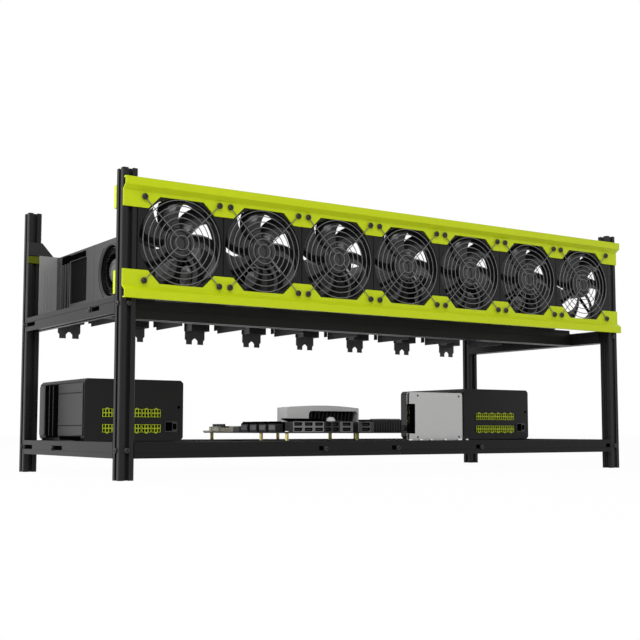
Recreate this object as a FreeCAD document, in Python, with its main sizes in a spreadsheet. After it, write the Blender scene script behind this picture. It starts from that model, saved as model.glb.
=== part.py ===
import FreeCAD, Part
import math
import os
import Sketcher
from types import SimpleNamespace
from FreeCAD import Placement, Rotation, Vector

# Open mining rig: a black aluminium frame with seven fans across its front, eight graphics
# cards on the upper shelf, and two power supplies, a motherboard and a drive on the tray.
# X runs along the fan row, Y from the fans to the back, Z up from the floor.
# The origin is on the floor under the middle of the rig.

doc = FreeCAD.newDocument("mining_rig")
sheet = doc.addObject("Spreadsheet::Sheet", "Sizes")

sizes = {
    # frame of square T-slot bars
    "frameWidth": 886, "frameDepth": 366, "frameHeight": 385, "profile": 20,
    "slotMouth": 6, "slotCavity": 11.2, "slotLip": 1.8, "slotFlank": 1.2, "slotFloor": 5.6,
    "cornerCut": 1.2, "grooveWide": 1, "grooveDeep": 0.6, "grooveAt": 6.5,
    "trayBottom": 26.5, "shelfBottom": 206.5, "trayCrossFront": 219, "shelfCrossFront": 84,
    "barWest": -142, "barMiddle": -18, "barEast": 140,
    # long slots beside the joints
    "keyholeHigh": 6, "keyholeDeep": 3, "keyholeEndGap": 2, "trayKeyholeLong": 33,
    "trayKeyholePast": 5, "shelfKeyholeLong": 25, "shelfKeyholePast": 10, "rearKeyholeLong": 34,
    "barKeyholeLong": 7, "barKeyholeBeside": 11, "postKeyholeLong": 10,
    # fan row
    "fanCount": 7, "fanRowSlack": 6, "fanDepth": 25, "fanRim": 2, "fanScrewInset": 7.5,
    "fanCentreHeight": 297.5, "fanHub": 40, "fanHubHigh": 18, "motorPlate": 3, "strutWide": 5,
    "strutRoot": 0.9, "hubFlats": 3,
    "bladeCount": 7, "bladeRootChord": 24, "bladeTipChord": 36, "bladeThick": 1.8,
    "bladeRootDepth": 10, "bladePitch": 26, "bladeSweep": 9, "tipGap": 1.2, "spinGap": 0.3,
    "wire": 1.6,
    # bent fan rails
    "sheetThick": 1.5, "flangeReach": 13.5, "flangeRise": 7.5, "slopeRise": 5.5, "railStand": 7.5,
    "slopeInset": 0.5, "stripHigh": 10, "railLip": 5.5, "cutPastScrew": 2.5, "tabHalf": 14,
    "backFlangeHigh": 29,
    # card rail at the back
    "cardRailTop": 319.5, "cardRailHigh": 10.5, "cardRailLedge": 14,
    "earHigh": 19.5, "earTopWide": 21, "earWide": 38.5, "restInset": 3,
    # graphics cards
    "cardCount": 8, "cardRowWest": 45, "cardRowEast": 59, "cardFront": 80,
    "shroudWide": 36, "shroudWest": -20, "shroudBottom": 232, "cardBoardThick": 1.6,
    "boardInset": 3, "blowerFromFront": 60, "blowerHeight": 275.8, "blowerBore": 68,
    "blowerDeep": 26, "blowerFrontGap": 2, "blowerHub": 33, "vaneCount": 7, "vaneLong": 16,
    "vaneThick": 1.6, "vaneSlant": 25,
    "windowFront": 145, "windowLong": 63, "windowHigh": 62, "windowBottom": 244.5, "windowDeep": 9,
    "portBlockInset": 4, "portBlockLong": 20, "portBlockBottom": 219.5,
    "edgeTabFromBack": 46, "edgeTabLong": 86, "edgeTabBottom": 214.3,
    "hookFromBack": 35, "hookLong": 8, "hookBottom": 219.5,
    # slot brackets
    "bracketWide": 38, "bracketThick": 1.2, "shoulderHeight": 220, "forkWide": 35.4,
    "forkTip": 199, "forkCut": 2.4, "forkLegHigh": 6, "legWide": 10.2, "legPitch": 20.4,
    "notchTop": 3, "blankWide": 22.5, "blankGap": 1, "blankBottom": 226.8,
    # power supplies
    "supplyWide": 150, "supplyHigh": 86, "supplyLong": 176, "supplyWestGap": 10.5,
    "supplyEastGap": 0.5, "supplyEdge": 4, "supplyFanBore": 128, "supplyFanDeep": 24,
    "supplyFanBack": 88, "grilleWide": 4, "grilleThick": 2,
    "socketProud": 0.8, "socketHigh": 8, "socketLong": 12.8, "socketPitch": 14.8,
    "socketWest": 27, "socketUpper": 26, "socketLower": 10.5,
    "socketsUpper": 4, "socketsLower": 5,
    # motherboard
    "boardWide": 305, "boardDeep": 244, "boardThick": 1.6, "boardWest": -152, "boardFront": 92,
    "standoffHigh": 10.5, "standoffAcross": 6, "standoffNear": 8, "standoffNext": 80,
    "standoffFar": 235,
    "portHigh": 15.4, "portLong": 22, "portDeep": 6, "portRim": 1.6,
    "portsTripleWest": -137, "portsTripleWide": 54, "portsPairWest": -82.5, "portsPairWide": 27,
    "portsTallWest": -55, "portsTallWide": 24, "portsLastWest": -22, "portsLastWide": 29,
    "coolerWest": 7.5, "coolerWide": 57.5, "coolerFront": 6, "coolerLong": 34, "coolerHigh": 19,
    "memoryWest": -140, "memoryLong": 138, "memoryFront": 198, "memoryPitch": 10,
    "memoryThick": 6, "memoryHigh": 9, "memoryCount": 4,
    "cardSlotWest": 75, "cardSlotFront": 48, "cardSlotPitch": 20.3, "cardSlotLong": 89,
    "cardSlotThick": 7.5, "cardSlotHigh": 11, "cardSlotCount": 4,
    "edgeBlockInset": 2, "edgeBlockFront": 26, "edgeBlockPitch": 27, "edgeBlockLong": 20,
    "edgeBlockWide": 12, "edgeBlockHigh": 12, "edgeBlockCount": 4,
    "powerPlugWest": 20, "powerPlugLong": 52, "powerPlugWide": 10, "powerPlugHigh": 12,
    "coverWest": -117, "coverWide": 131, "coverFront": 140, "coverDeep": 28, "coverTop": 98.5,
    "coverCrown": 3.5, "coverMouthWest": 39, "coverMouthWide": 90, "coverMouthHigh": 24,
    "coverMouthDrop": 8.5, "coverMouthDeep": 24, "coverFins": 6, "coverFinThick": 2,
    "sinkSide": 84, "sinkWest": -90, "sinkFront": 186, "sinkHigh": 13, "sinkBase": 3,
    "sinkFinThick": 2, "sinkFins": 8,
    # drive
    "driveLong": 100, "driveHigh": 70, "driveThick": 7, "driveWest": 8,
    "drivePlugLong": 34, "drivePlugHigh": 4, "drivePlugInset": 8, "driveWall": 1.5,
    # how far a cut runs past the face that it opens
    "overcut": 2,
}
for row, (alias, value) in enumerate(sizes.items(), start=1):
    sheet.set(f"A{row}", alias)
    sheet.set(f"B{row}", str(value))
    sheet.setAlias(f"B{row}", alias)
doc.recompute()


class Size:
    """A length worked out from the sheet: its number, and the expression that gives it."""

    def __init__(self, text, number):
        self.text = text
        self.number = number

    def __float__(self):
        return self.number

    def __add__(self, other):
        return Size(f"({self.text} + {expression(other)})", self.number + float(other))

    def __sub__(self, other):
        return Size(f"({self.text} - {expression(other)})", self.number - float(other))

    def __mul__(self, other):
        return Size(f"({self.text} * {expression(other)})", self.number * float(other))

    def __truediv__(self, other):
        return Size(f"({self.text} / {expression(other)})", self.number / float(other))

    def __neg__(self):
        return Size(f"(-{self.text})", -self.number)

    __radd__ = __add__
    __rmul__ = __mul__


def expression(value):
    return value.text if isinstance(value, Size) else f"({value})"


def whole(value):
    return round(float(value))


size = SimpleNamespace(**{alias: Size(f"Sizes.{alias}", float(sheet.get(alias))) for alias in sizes})

# Places that several pieces share
frontFace = (size.sheetThick + size.railStand - size.frameDepth) / 2
backPostFace = frontFace + size.frameDepth - size.profile
halfWidth = size.frameWidth / 2
innerHalf = halfWidth - size.profile
postMiddle = halfWidth - size.profile / 2
trayTop = size.trayBottom + size.profile
shelfTop = size.shelfBottom + size.profile
trayMiddle = size.trayBottom + size.profile / 2
shelfMiddle = size.shelfBottom + size.profile / 2
fanPitch = innerHalf * 2 / size.fanCount
fanSize = (innerHalf * 2 - size.fanRowSlack) / size.fanCount
fanBore = fanSize - size.fanRim * 2
fanScrewPitch = fanSize - size.fanScrewInset * 2
fanBack = frontFace + size.fanDepth
bracketBack = backPostFace - size.sheetThick
cardBack = bracketBack - size.bracketThick

# Turns that lay a bar's length along X or Y, with its slot up or down
upright = Rotation()
alongX = Rotation(Vector(0, 1, 0), Vector(0, 0, 1), Vector(1, 0, 0))
alongY = Rotation(Vector(-1, 0, 0), Vector(0, 0, 1), Vector(0, 1, 0))
alongXDown = Rotation(Vector(0, -1, 0), Vector(0, 0, -1), Vector(1, 0, 0))
alongYDown = Rotation(Vector(1, 0, 0), Vector(0, 0, -1), Vector(0, 1, 0))
facingFront = Rotation(Vector(1, 0, 0), 90)
facingWest = Rotation(Vector(0, 1, 0), -90)

kept = []


def place(thing, x, y, z, turn=upright):
    thing.Placement = Placement(Vector(float(x), float(y), float(z)), turn)
    for axis, value in zip("xyz", (x, y, z)):
        thing.setExpression(f"Placement.Base.{axis}", expression(value))
    return thing


def keep(thing, name):
    """Give a finished piece its name and put it on the list of files."""
    thing.Label = name
    kept.append(thing)
    return thing


def box(name, x, y, z, long, deep, high):
    thing = doc.addObject("Part::Box", name)
    for prop, value in (("Length", long), ("Width", deep), ("Height", high)):
        thing.setExpression(prop, expression(value))
    return place(thing, x, y, z)


def cylinder(name, x, y, z, radius, high, turn=upright):
    thing = doc.addObject("Part::Cylinder", name)
    thing.setExpression("Radius", expression(radius))
    thing.setExpression("Height", expression(high))
    return place(thing, x, y, z, turn)


def fused(name, pieces):
    thing = doc.addObject("Part::MultiFuse", name)
    thing.Shapes = pieces
    return thing


def together(name, pieces):
    thing = doc.addObject("Part::Compound", name)
    thing.Links = pieces
    return thing


def cut(name, base, tools):
    thing = doc.addObject("Part::Cut", name)
    thing.Base = base
    thing.Tool = tools[0] if len(tools) == 1 else together(name + "_tools", tools)
    return thing


def feature(name, shape, x, y, z, turn=upright):
    """A piece whose form needs code; its place follows the sheet like any other."""
    thing = doc.addObject("Part::Feature", name)
    thing.Shape = shape
    return place(thing, x, y, z, turn)


def outline(sketch, corners):
    """A closed outline of straight edges, each corner tied to two expressions."""
    points = [Vector(float(u), float(v), 0) for u, v in corners]
    count = len(points)
    for i in range(count):
        sketch.addGeometry(Part.LineSegment(points[i], points[(i + 1) % count]))
    for i in range(count):
        sketch.addConstraint(Sketcher.Constraint("Coincident", i, 2, (i + 1) % count, 1))
    for i, (u, v) in enumerate(corners):
        for kind, value in (("DistanceX", u), ("DistanceY", v)):
            number = sketch.addConstraint(Sketcher.Constraint(kind, -1, 1, i, 1, float(value)))
            sketch.setExpression(f"Constraints[{number}]", expression(value))
    return sketch


def section(name, corners):
    return outline(doc.addObject("Sketcher::SketchObject", name), corners)


def body_sketch(body, name, role, corners):
    sketch = body.newObject("Sketcher::SketchObject", name)
    plane = next(item for item in body.Origin.OriginFeatures if item.Role == role)
    sketch.AttachmentSupport = [(plane, "")]
    sketch.MapMode = "FlatFace"
    return outline(sketch, corners)


def bar(name, profile, long, x, y, z, turn):
    """A length of one section, laid along the direction of its turn."""
    thing = doc.addObject("Part::Extrusion", name)
    thing.Base = profile
    thing.DirMode = "Custom"
    thing.Dir = Vector(0, 0, 1)
    thing.Solid = True
    thing.setExpression("LengthFwd", expression(long))
    return place(thing, x, y, z, turn)


# Bar sections, drawn about the middle of the bar
barHalf = size.profile / 2


def slot_corners():
    """One T-slot in the top side, from its left lip to its right lip."""
    mouth, cavity = size.slotMouth / 2, size.slotCavity / 2
    lip = barHalf - size.slotLip
    flank = lip - size.slotFlank
    floor = barHalf - size.slotFloor
    right = [(mouth, barHalf), (mouth, lip), (cavity, lip), (cavity, flank), (mouth, floor)]
    left = [(-u, v) for u, v in right]
    return left + right[::-1]


def quarter_turn(corners):
    return [(v, -u) for u, v in corners]


edge = barHalf - size.cornerCut
oneSide = [(-edge, barHalf)] + slot_corners() + [(edge, barHalf)]
postCorners = []
for side in range(4):
    postCorners += oneSide
    oneSide = quarter_turn(oneSide)
postSection = section("PostSection", postCorners)

grooveLow = size.grooveAt - barHalf
grooveTop = grooveLow + size.grooveWide
grooveFloor = barHalf - size.grooveDeep
railSide = [(barHalf, barHalf), (barHalf, grooveTop), (grooveFloor, grooveTop),
            (grooveFloor, grooveLow), (barHalf, grooveLow), (barHalf, -barHalf)]
railMirror = [(-u, v) for u, v in railSide[::-1]]
railSection = section("RailSection", railMirror + slot_corners() + railSide)

# Posts
for name, side, y in (("post_front_left", -1, frontFace), ("post_front_right", 1, frontFace),
                      ("post_rear_left", -1, backPostFace), ("post_rear_right", 1, backPostFace)):
    keep(bar(name, postSection, size.frameHeight, postMiddle * side, y + barHalf, 0, upright), name)

# Tray and shelf bars. The tray's slots face up and the shelf's face down.
sideLong = size.frameDepth - size.profile * 2
sideStart = frontFace + size.profile
trayKeyhole = size.trayBottom + size.grooveAt + size.grooveWide
shelfKeyhole = shelfTop - size.grooveAt - size.grooveWide - size.keyholeHigh


def side_bar(name, side, z, turn, hole_z, cross_front, hole_long, hole_past):
    """A side bar with two long slots in its outer face, at its cross rail and at its rear end."""
    long_bar = bar(name + "_bar", railSection, sideLong, postMiddle * side, sideStart, z, turn)
    x = halfWidth - size.keyholeDeep if side > 0 else -halfWidth - size.profile + size.keyholeDeep
    at_cross = box(name + "_slot", x, frontFace + cross_front + hole_past - hole_long, hole_z,
                   size.profile, hole_long, size.keyholeHigh)
    at_rear = box(name + "_rear_slot", x, backPostFace - size.keyholeEndGap - size.rearKeyholeLong,
                  hole_z, size.profile, size.rearKeyholeLong, size.keyholeHigh)
    return keep(cut(name, long_bar, [at_cross, at_rear]), name)


for side, word in ((-1, "left"), (1, "right")):
    side_bar(f"tray_rail_{word}", side, trayMiddle, alongY, trayKeyhole, size.trayCrossFront,
             size.trayKeyholeLong, size.trayKeyholePast)
    side_bar(f"shelf_rail_{word}", side, shelfMiddle, alongYDown, shelfKeyhole, size.shelfCrossFront,
             size.shelfKeyholeLong, size.shelfKeyholePast)

barPlaces = (size.barWest, size.barMiddle, size.barEast)
frontBar = bar("tray_front_bar", railSection, innerHalf * 2, -innerHalf, frontFace + barHalf,
               trayMiddle, alongX)
holeY = frontFace - size.profile + size.keyholeDeep
frontHoles = [box(f"tray_front_slot_{i}", x - size.barKeyholeBeside, holeY, trayKeyhole,
                  size.barKeyholeLong, size.profile, size.keyholeHigh)
              for i, x in enumerate(barPlaces)]
frontHoles.append(box("tray_front_slot_post", innerHalf - size.keyholeEndGap - size.postKeyholeLong,
                      holeY, trayKeyhole, size.postKeyholeLong, size.profile, size.keyholeHigh))
keep(cut("tray_rail_front", frontBar, frontHoles), "tray_rail_front")
keep(bar("tray_rail_rear", railSection, innerHalf * 2, -innerHalf, backPostFace + barHalf,
         trayMiddle, alongX), "tray_rail_rear")

# Three bars carry the motherboard, and the cross rail stops at the outer two of them
keep(together("board_bars", [bar(f"board_bar_{i}", railSection, sideLong, x, sideStart, trayMiddle, alongY)
                             for i, x in enumerate(barPlaces)]), "board_bars")
crossY = frontFace + size.trayCrossFront + barHalf
keep(together("tray_rail_cross", [
    bar("tray_cross_west", railSection, size.barWest - barHalf + innerHalf, -innerHalf, crossY,
        trayMiddle, alongX),
    bar("tray_cross_east", railSection, innerHalf - size.barEast - barHalf, size.barEast + barHalf,
        crossY, trayMiddle, alongX)]), "tray_rail_cross")

shelfCrossY = frontFace + size.shelfCrossFront
keep(bar("shelf_rail_cross", railSection, innerHalf * 2, -innerHalf, shelfCrossY + barHalf,
         shelfMiddle, alongXDown), "shelf_rail_cross")
keep(box("card_rest", size.restInset - innerHalf, shelfCrossY, shelfTop,
         (innerHalf - size.restInset) * 2, size.profile, size.shroudBottom - shelfTop), "card_rest")

# Fan rails. Heights run away from the fans' middle, up on an upper rail and down on a lower one.
screwRow = fanScrewPitch / 2
flangeEnd = screwRow - size.flangeReach


def away(sign, height):
    return size.fanCentreHeight + height * sign


def fan_x(i):
    return fanPitch * (i + 0.5) - innerHalf


def flange_windows(body, sign):
    """The cut-outs over the fans: one pocket with slanted sides, repeated along the rail."""
    first = fan_x(0)
    root = screwRow + size.cutPastScrew
    beyond = flangeEnd - size.sheetThick
    at_root = fanPitch / 2 - size.tabHalf - size.flangeReach - size.cutPastScrew
    at_end = at_root + root - beyond
    corners = [(first - at_root, away(sign, root)), (first + at_root, away(sign, root)),
               (first + at_end, away(sign, beyond)), (first - at_end, away(sign, beyond))]
    sketch = body_sketch(body, body.Name + "_window", "XZ_Plane", corners)
    pocket = body.newObject("PartDesign::Pocket", body.Name + "_pocket")
    pocket.Profile = sketch
    pocket.Type = "ThroughAll"
    pocket.Midplane = True
    pattern = body.newObject("PartDesign::LinearPattern", body.Name + "_pattern")
    pattern.Originals = [pocket]
    pattern.Direction = (sketch, ["H_Axis"])
    pattern.setExpression("Length", expression(fanPitch * (size.fanCount - 1)))
    pattern.setExpression("Occurrences", expression(size.fanCount))
    body.Tip = pattern


def pad(body, sketch, long):
    thing = body.newObject("PartDesign::Pad", body.Name + "_pad")
    thing.Profile = sketch
    thing.setExpression("Length", expression(long))
    return thing


def front_fan_rail(name, sign):
    """Bent sheet: a flange on the fans, a slope out, a strip, and a lip turned back."""
    body = doc.addObject("PartDesign::Body", name)
    out = frontFace - size.sheetThick
    stand = out - size.railStand
    bend = screwRow + size.flangeRise - size.slopeInset
    strip = bend + size.slopeRise
    top = strip + size.stripHigh
    under = top - size.sheetThick
    path = [(frontFace, flangeEnd), (frontFace, bend + size.slopeInset),
            (stand + size.sheetThick, strip + size.slopeInset), (stand + size.sheetThick, under),
            (stand + size.railLip, under), (stand + size.railLip, top), (stand, top), (stand, strip),
            (out, bend), (out, flangeEnd)]
    sketch = body_sketch(body, name + "_section", "YZ_Plane", [(y, away(sign, z)) for y, z in path])
    pad(body, sketch, size.frameWidth).Midplane = True
    flange_windows(body, sign)
    return keep(body, name)


def back_fan_rail(name, sign):
    """A flat flange behind the fans, its ends folded forward onto the posts."""
    body = doc.addObject("PartDesign::Body", name)
    near = frontFace + size.profile
    far = fanBack + size.sheetThick
    inner = halfWidth - size.sheetThick
    path = [(-halfWidth, near), (-halfWidth, far), (halfWidth, far), (halfWidth, near), (inner, near),
            (inner, fanBack), (-inner, fanBack), (-inner, near)]
    sketch = body_sketch(body, name + "_plan", "XY_Plane", path)
    sketch.setExpression("AttachmentOffset.Base.z", expression(away(sign, flangeEnd)))
    pad(body, sketch, size.backFlangeHigh).Reversed = sign < 0
    flange_windows(body, sign)
    return keep(body, name)


front_fan_rail("fan_rail_upper", 1)
front_fan_rail("fan_rail_lower", -1)
back_fan_rail("fan_rail_upper_back", 1)
back_fan_rail("fan_rail_lower_back", -1)


# Fans
def hub_shape(radius, high, count):
    """A hub with the same few flats beside each of its blades, so that each blade meets a flat."""
    sides = count * whole(size.hubFlats)
    turns = [math.radians(360 * (i + 0.5) / sides) for i in range(sides)]
    corners = [Vector(radius * math.cos(turn), radius * math.sin(turn), 0) for turn in turns]
    return Part.Face(Part.makePolygon(corners + corners[:1])).extrude(Vector(0, 0, high))


def blade_shape(root_radius, tip_radius):
    """A pitched plate that widens and sweeps forward as it reaches out along X."""
    root, tip = float(size.bladeRootChord) / 2, float(size.bladeTipChord) / 2
    sweep, thick = float(size.bladeSweep) / 2, float(size.bladeThick)
    corners = [Vector(root_radius, -sweep - root, 0), Vector(root_radius, root - sweep, 0),
               Vector(tip_radius, sweep + tip, 0), Vector(tip_radius, sweep - tip, 0)]
    plate = Part.Face(Part.makePolygon(corners + corners[:1])).extrude(Vector(0, 0, thick))
    plate.translate(Vector(0, 0, -thick / 2))
    plate.rotate(Vector(0, 0, 0), Vector(1, 0, 0), float(size.bladePitch))
    return plate


def axial_rotor(bore, hub, high):
    """Hub and blades about the Z axis, standing on Z = 0 and clear of the bore."""
    reach = float(bore / 2 - size.tipGap)
    inside = float(hub) / 2
    flat = math.cos(math.radians(float(size.bladePitch)))
    tip_half = float(size.bladeTipChord + size.bladeSweep) / 2 * flat + float(size.bladeThick)
    blade = blade_shape(inside - float(size.bladeRootDepth), math.sqrt(reach ** 2 - tip_half ** 2))
    blade.translate(Vector(0, 0, float(high) / 2))
    count = whole(size.bladeCount)
    shape = hub_shape(inside, float(high), count)
    for i in range(count):
        copy = blade.copy()
        copy.rotate(Vector(0, 0, 0), Vector(0, 0, 1), 360 / count * i)
        shape = shape.fuse(copy)
    return shape


def fan_case(name, x):
    """Square frame with a round bore, and a motor plate held by four struts at the back."""
    z = size.fanCentreHeight
    half = fanSize / 2
    struts_y = fanBack - size.motorPlate
    span = fanBore + size.strutRoot * 2
    block = box(name + "_block", x - half, frontFace, z - half, fanSize, size.fanDepth, fanSize)
    bore = cylinder(name + "_bore", x, fanBack + size.overcut, z, fanBore / 2,
                    size.fanDepth + size.overcut * 2, facingFront)
    plate = cylinder(name + "_plate", x, fanBack, z, size.fanHub / 2, size.motorPlate, facingFront)
    level = box(name + "_level", x - span / 2, struts_y, z - size.strutWide / 2, span,
                size.motorPlate, size.strutWide)
    upright_strut = box(name + "_upright", x - size.strutWide / 2, struts_y, z - span / 2,
                        size.strutWide, size.motorPlate, span)
    return fused(name, [cut(name + "_ring", block, [bore]), plate, level, upright_strut])


fanCount = whole(size.fanCount)
fanRotor = axial_rotor(fanBore, size.fanHub, size.fanHubHigh)
for i in range(fanCount):
    keep(fan_case(f"fan_frame_{i + 1}", fan_x(i)), f"fan_frame_{i + 1}")
    keep(feature(f"fan_rotor_{i + 1}", fanRotor, fan_x(i), fanBack - size.motorPlate - size.spinGap,
                 size.fanCentreHeight, facingFront), f"fan_rotor_{i + 1}")


def guard_shape():
    """Two crossed wires that lie on the rails and reach the corner screws."""
    wire = float(size.wire)
    reach = float(screwRow) * math.sqrt(2) + wire
    wires = []
    for turn in (45, 135):
        spoke = Part.makeBox(2 * reach, wire, wire, Vector(-reach, -wire / 2, float(size.sheetThick)))
        spoke.rotate(Vector(0, 0, 0), Vector(0, 0, 1), turn)
        wires.append(spoke)
    return wires[0].fuse(wires[1])


guard = guard_shape()
keep(together("fan_guards", [feature(f"guard_{i + 1}", guard, fan_x(i), frontFace, size.fanCentreHeight,
                                     facingFront) for i in range(fanCount)]), "fan_guards")

# Card rail across the rear posts, with a black ear on each post
keep(fused("card_rail", [
    box("card_rail_face", -halfWidth, bracketBack, size.cardRailTop - size.cardRailHigh,
        size.frameWidth, size.sheetThick, size.cardRailHigh),
    box("card_rail_ledge", -innerHalf, bracketBack, size.cardRailTop - size.sheetThick,
        innerHalf * 2, size.cardRailLedge, size.sheetThick)]), "card_rail")


def ear(name, sign):
    """A plate on a rear post, just above the bracket tabs, with a slanted inner edge."""
    profile = section(name + "_outline", [(halfWidth * sign, 0), ((halfWidth - size.earWide) * sign, 0),
                                          ((halfWidth - size.earTopWide) * sign, size.earHigh),
                                          (halfWidth * sign, size.earHigh)])
    return bar(name, profile, size.sheetThick, 0, backPostFace, size.cardRailTop + size.bracketThick,
               facingFront)


keep(together("card_rail_ears", [ear("ear_left", -1), ear("ear_right", 1)]), "card_rail_ears")

# Graphics cards
cardFront = frontFace + size.cardFront
cardLong = cardBack - cardFront
cardFirst = size.cardRowWest - innerHalf
cardPitch = (innerHalf * 2 - size.cardRowWest - size.cardRowEast) / (size.cardCount - 1)
blowerY = cardFront + size.blowerFromFront


def card_shroud(name, x):
    """A cover with a round fan recess, a window, and the port block below its back end."""
    west = x + size.shroudWest
    foot_west = west + size.portBlockInset
    shell = box(name + "_shell", west, cardFront, size.shroudBottom, size.shroudWide, cardLong,
                size.cardRailTop - size.shroudBottom)
    recess = cylinder(name + "_recess", west + size.blowerDeep, blowerY, size.blowerHeight,
                      size.blowerBore / 2, size.blowerDeep + size.overcut, facingWest)
    window = box(name + "_window", west - size.overcut, cardFront + size.windowFront, size.windowBottom,
                 size.windowDeep + size.overcut, size.windowLong, size.windowHigh)
    foot = box(name + "_ports", foot_west, cardBack - size.portBlockLong, size.portBlockBottom,
               size.shroudWide - size.portBlockInset, size.portBlockLong,
               size.shroudBottom - size.portBlockBottom)
    return fused(name, [cut(name + "_cut", shell, [recess, window]), foot])


def card_board(name, x):
    """A circuit board with its edge connector and hook hanging below."""
    face = x + size.shroudWest + size.shroudWide
    plate = box(name + "_plate", face, cardFront, size.shroudBottom, size.cardBoardThick, cardLong,
                size.cardRailTop - size.shroudBottom - size.boardInset)
    tab = box(name + "_tab", face, cardBack - size.edgeTabFromBack - size.edgeTabLong,
              size.edgeTabBottom, size.cardBoardThick, size.edgeTabLong,
              size.shroudBottom - size.edgeTabBottom)
    hook = box(name + "_hook", face, cardBack - size.hookFromBack - size.hookLong, size.hookBottom,
               size.cardBoardThick, size.hookLong, size.shroudBottom - size.hookBottom)
    return fused(name, [plate, tab, hook])


legOuter = (size.legPitch + size.legWide) / 2
legInner = (size.legPitch - size.legWide) / 2
legTop = size.forkTip + size.forkLegHigh
forkHalf = size.forkWide / 2
plateHalf = size.bracketWide / 2
forkRight = [(size.notchTop / 2, legTop + legInner - size.notchTop / 2), (legInner, legTop),
             (legInner, size.forkTip), (legOuter, size.forkTip), (legOuter, legTop),
             (forkHalf, legTop + size.forkCut), (forkHalf, size.shoulderHeight),
             (plateHalf, size.shoulderHeight), (plateHalf, size.cardRailTop)]
bracketOutline = section("BracketOutline", forkRight + [(-u, v) for u, v in forkRight[::-1]])


def bracket(name, x):
    """A plate that ends in a two-legged fork, with its top folded back over the card rail."""
    plate = bar(name + "_plate", bracketOutline, size.bracketThick, x, bracketBack, 0, facingFront)
    tab = box(name + "_tab", x - plateHalf, cardBack, size.cardRailTop, size.bracketWide,
              size.cardRailLedge, size.bracketThick)
    return fused(name, [plate, tab])


def blank_cover():
    x = cardFirst - plateHalf - size.blankGap - size.blankWide
    plate = box("blank_plate", x, cardBack, size.blankBottom, size.blankWide, size.bracketThick,
                size.cardRailTop - size.blankBottom)
    tab = box("blank_tab", x, cardBack, size.cardRailTop, size.blankWide, size.cardRailLedge,
              size.bracketThick)
    return fused("blank_cover", [plate, tab])


def blower_shape():
    """Blower wheel about the Z axis: a hub with slanted vanes."""
    high = float(size.blowerDeep - size.spinGap - size.blowerFrontGap)
    hub, thick, count = float(size.blowerHub) / 2, float(size.vaneThick), whole(size.vaneCount)
    shape = hub_shape(hub, high, count)
    for i in range(count):
        vane = Part.makeBox(float(size.vaneLong), thick, high, Vector(0, -thick / 2, 0))
        vane.rotate(Vector(0, 0, 0), Vector(0, 0, 1), float(size.vaneSlant))
        vane.translate(Vector(hub - thick, 0, 0))
        vane.rotate(Vector(0, 0, 0), Vector(0, 0, 1), 360 / count * i)
        shape = shape.fuse(vane)
    return shape


wheel = blower_shape()
cardPlaces = [cardFirst + cardPitch * i for i in range(whole(size.cardCount))]
keep(together("card_shrouds", [card_shroud(f"shroud_{i + 1}", x) for i, x in enumerate(cardPlaces)]),
     "card_shrouds")
keep(together("card_boards", [card_board(f"card_board_{i + 1}", x) for i, x in enumerate(cardPlaces)]),
     "card_boards")
keep(together("card_brackets", [bracket(f"bracket_{i + 1}", x) for i, x in enumerate(cardPlaces)]
              + [blank_cover()]), "card_brackets")
for i, x in enumerate(cardPlaces):
    keep(feature(f"card_blower_{i + 1}", wheel, x + size.shroudWest + size.blowerDeep - size.spinGap,
                 blowerY, size.blowerHeight, facingWest), f"card_blower_{i + 1}")

# Power supplies, each with its fan under two crossed bars
supplyFront = backPostFace + size.profile - size.supplyLong
supplyTop = trayTop + size.supplyHigh
supplyFanY = supplyFront + size.supplyFanBack
halfSupply = size.supplyWide / 2
insetSupply = halfSupply - size.supplyEdge
supplyShoulder = size.supplyHigh - size.supplyEdge
supplyRight = [(insetSupply, 0), (halfSupply, size.supplyEdge), (halfSupply, supplyShoulder),
               (insetSupply, size.supplyHigh)]
supplySection = section("SupplySection", supplyRight + [(-u, v) for u, v in supplyRight[::-1]])


def supply_case(name, x):
    span = size.supplyFanBore + size.strutRoot * 2
    wide = size.grilleWide
    block = bar(name + "_block", supplySection, size.supplyLong, x, supplyFront, trayTop, alongY)
    well = cylinder(name + "_well", x, supplyFanY, supplyTop - size.supplyFanDeep,
                    size.supplyFanBore / 2, size.supplyFanDeep + size.overcut)
    bars_z = supplyTop - size.grilleThick
    across = box(name + "_across", x - span / 2, supplyFanY - wide / 2, bars_z, span, wide,
                 size.grilleThick)
    along = box(name + "_along", x - wide / 2, supplyFanY - span / 2, bars_z, wide, span,
                size.grilleThick)
    return fused(name, [cut(name + "_cut", block, [well]), across, along])


def socket_row(name, west, height, count):
    return [box(f"{name}_{i}", west + size.socketWest + size.socketPitch * i,
                supplyFront - size.socketProud, trayTop + height, size.socketLong, size.socketProud,
                size.socketHigh) for i in range(whole(count))]


supplyRotor = axial_rotor(size.supplyFanBore, size.fanHub,
                          size.supplyFanDeep - size.grilleThick - size.spinGap * 2)
sockets = []
for word, west in (("left", size.supplyWestGap - innerHalf),
                   ("right", innerHalf - size.supplyEastGap - size.supplyWide)):
    x = west + halfSupply
    keep(supply_case(f"power_supply_{word}", x), f"power_supply_{word}")
    keep(feature(f"power_supply_fan_{word}", supplyRotor, x, supplyFanY,
                 supplyTop - size.supplyFanDeep + size.spinGap), f"power_supply_fan_{word}")
    sockets += socket_row(f"socket_{word}_upper", west, size.socketUpper, size.socketsUpper)
    sockets += socket_row(f"socket_{word}_lower", west, size.socketLower, size.socketsLower)
keep(together("power_sockets", sockets), "power_sockets")

# Motherboard on brass standoffs
boardY = frontFace + size.boardFront
boardTop = trayTop + size.standoffHigh + size.boardThick
keep(box("motherboard", size.boardWest, boardY, trayTop + size.standoffHigh, size.boardWide,
         size.boardDeep, size.boardThick), "motherboard")


def standoff(name, x, y):
    thing = doc.addObject("Part::Prism", name)
    thing.Polygon = 6
    thing.setExpression("Circumradius", expression(size.standoffAcross / 2))
    thing.setExpression("Height", expression(size.standoffHigh))
    return place(thing, x, boardY + y, trayTop)


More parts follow.
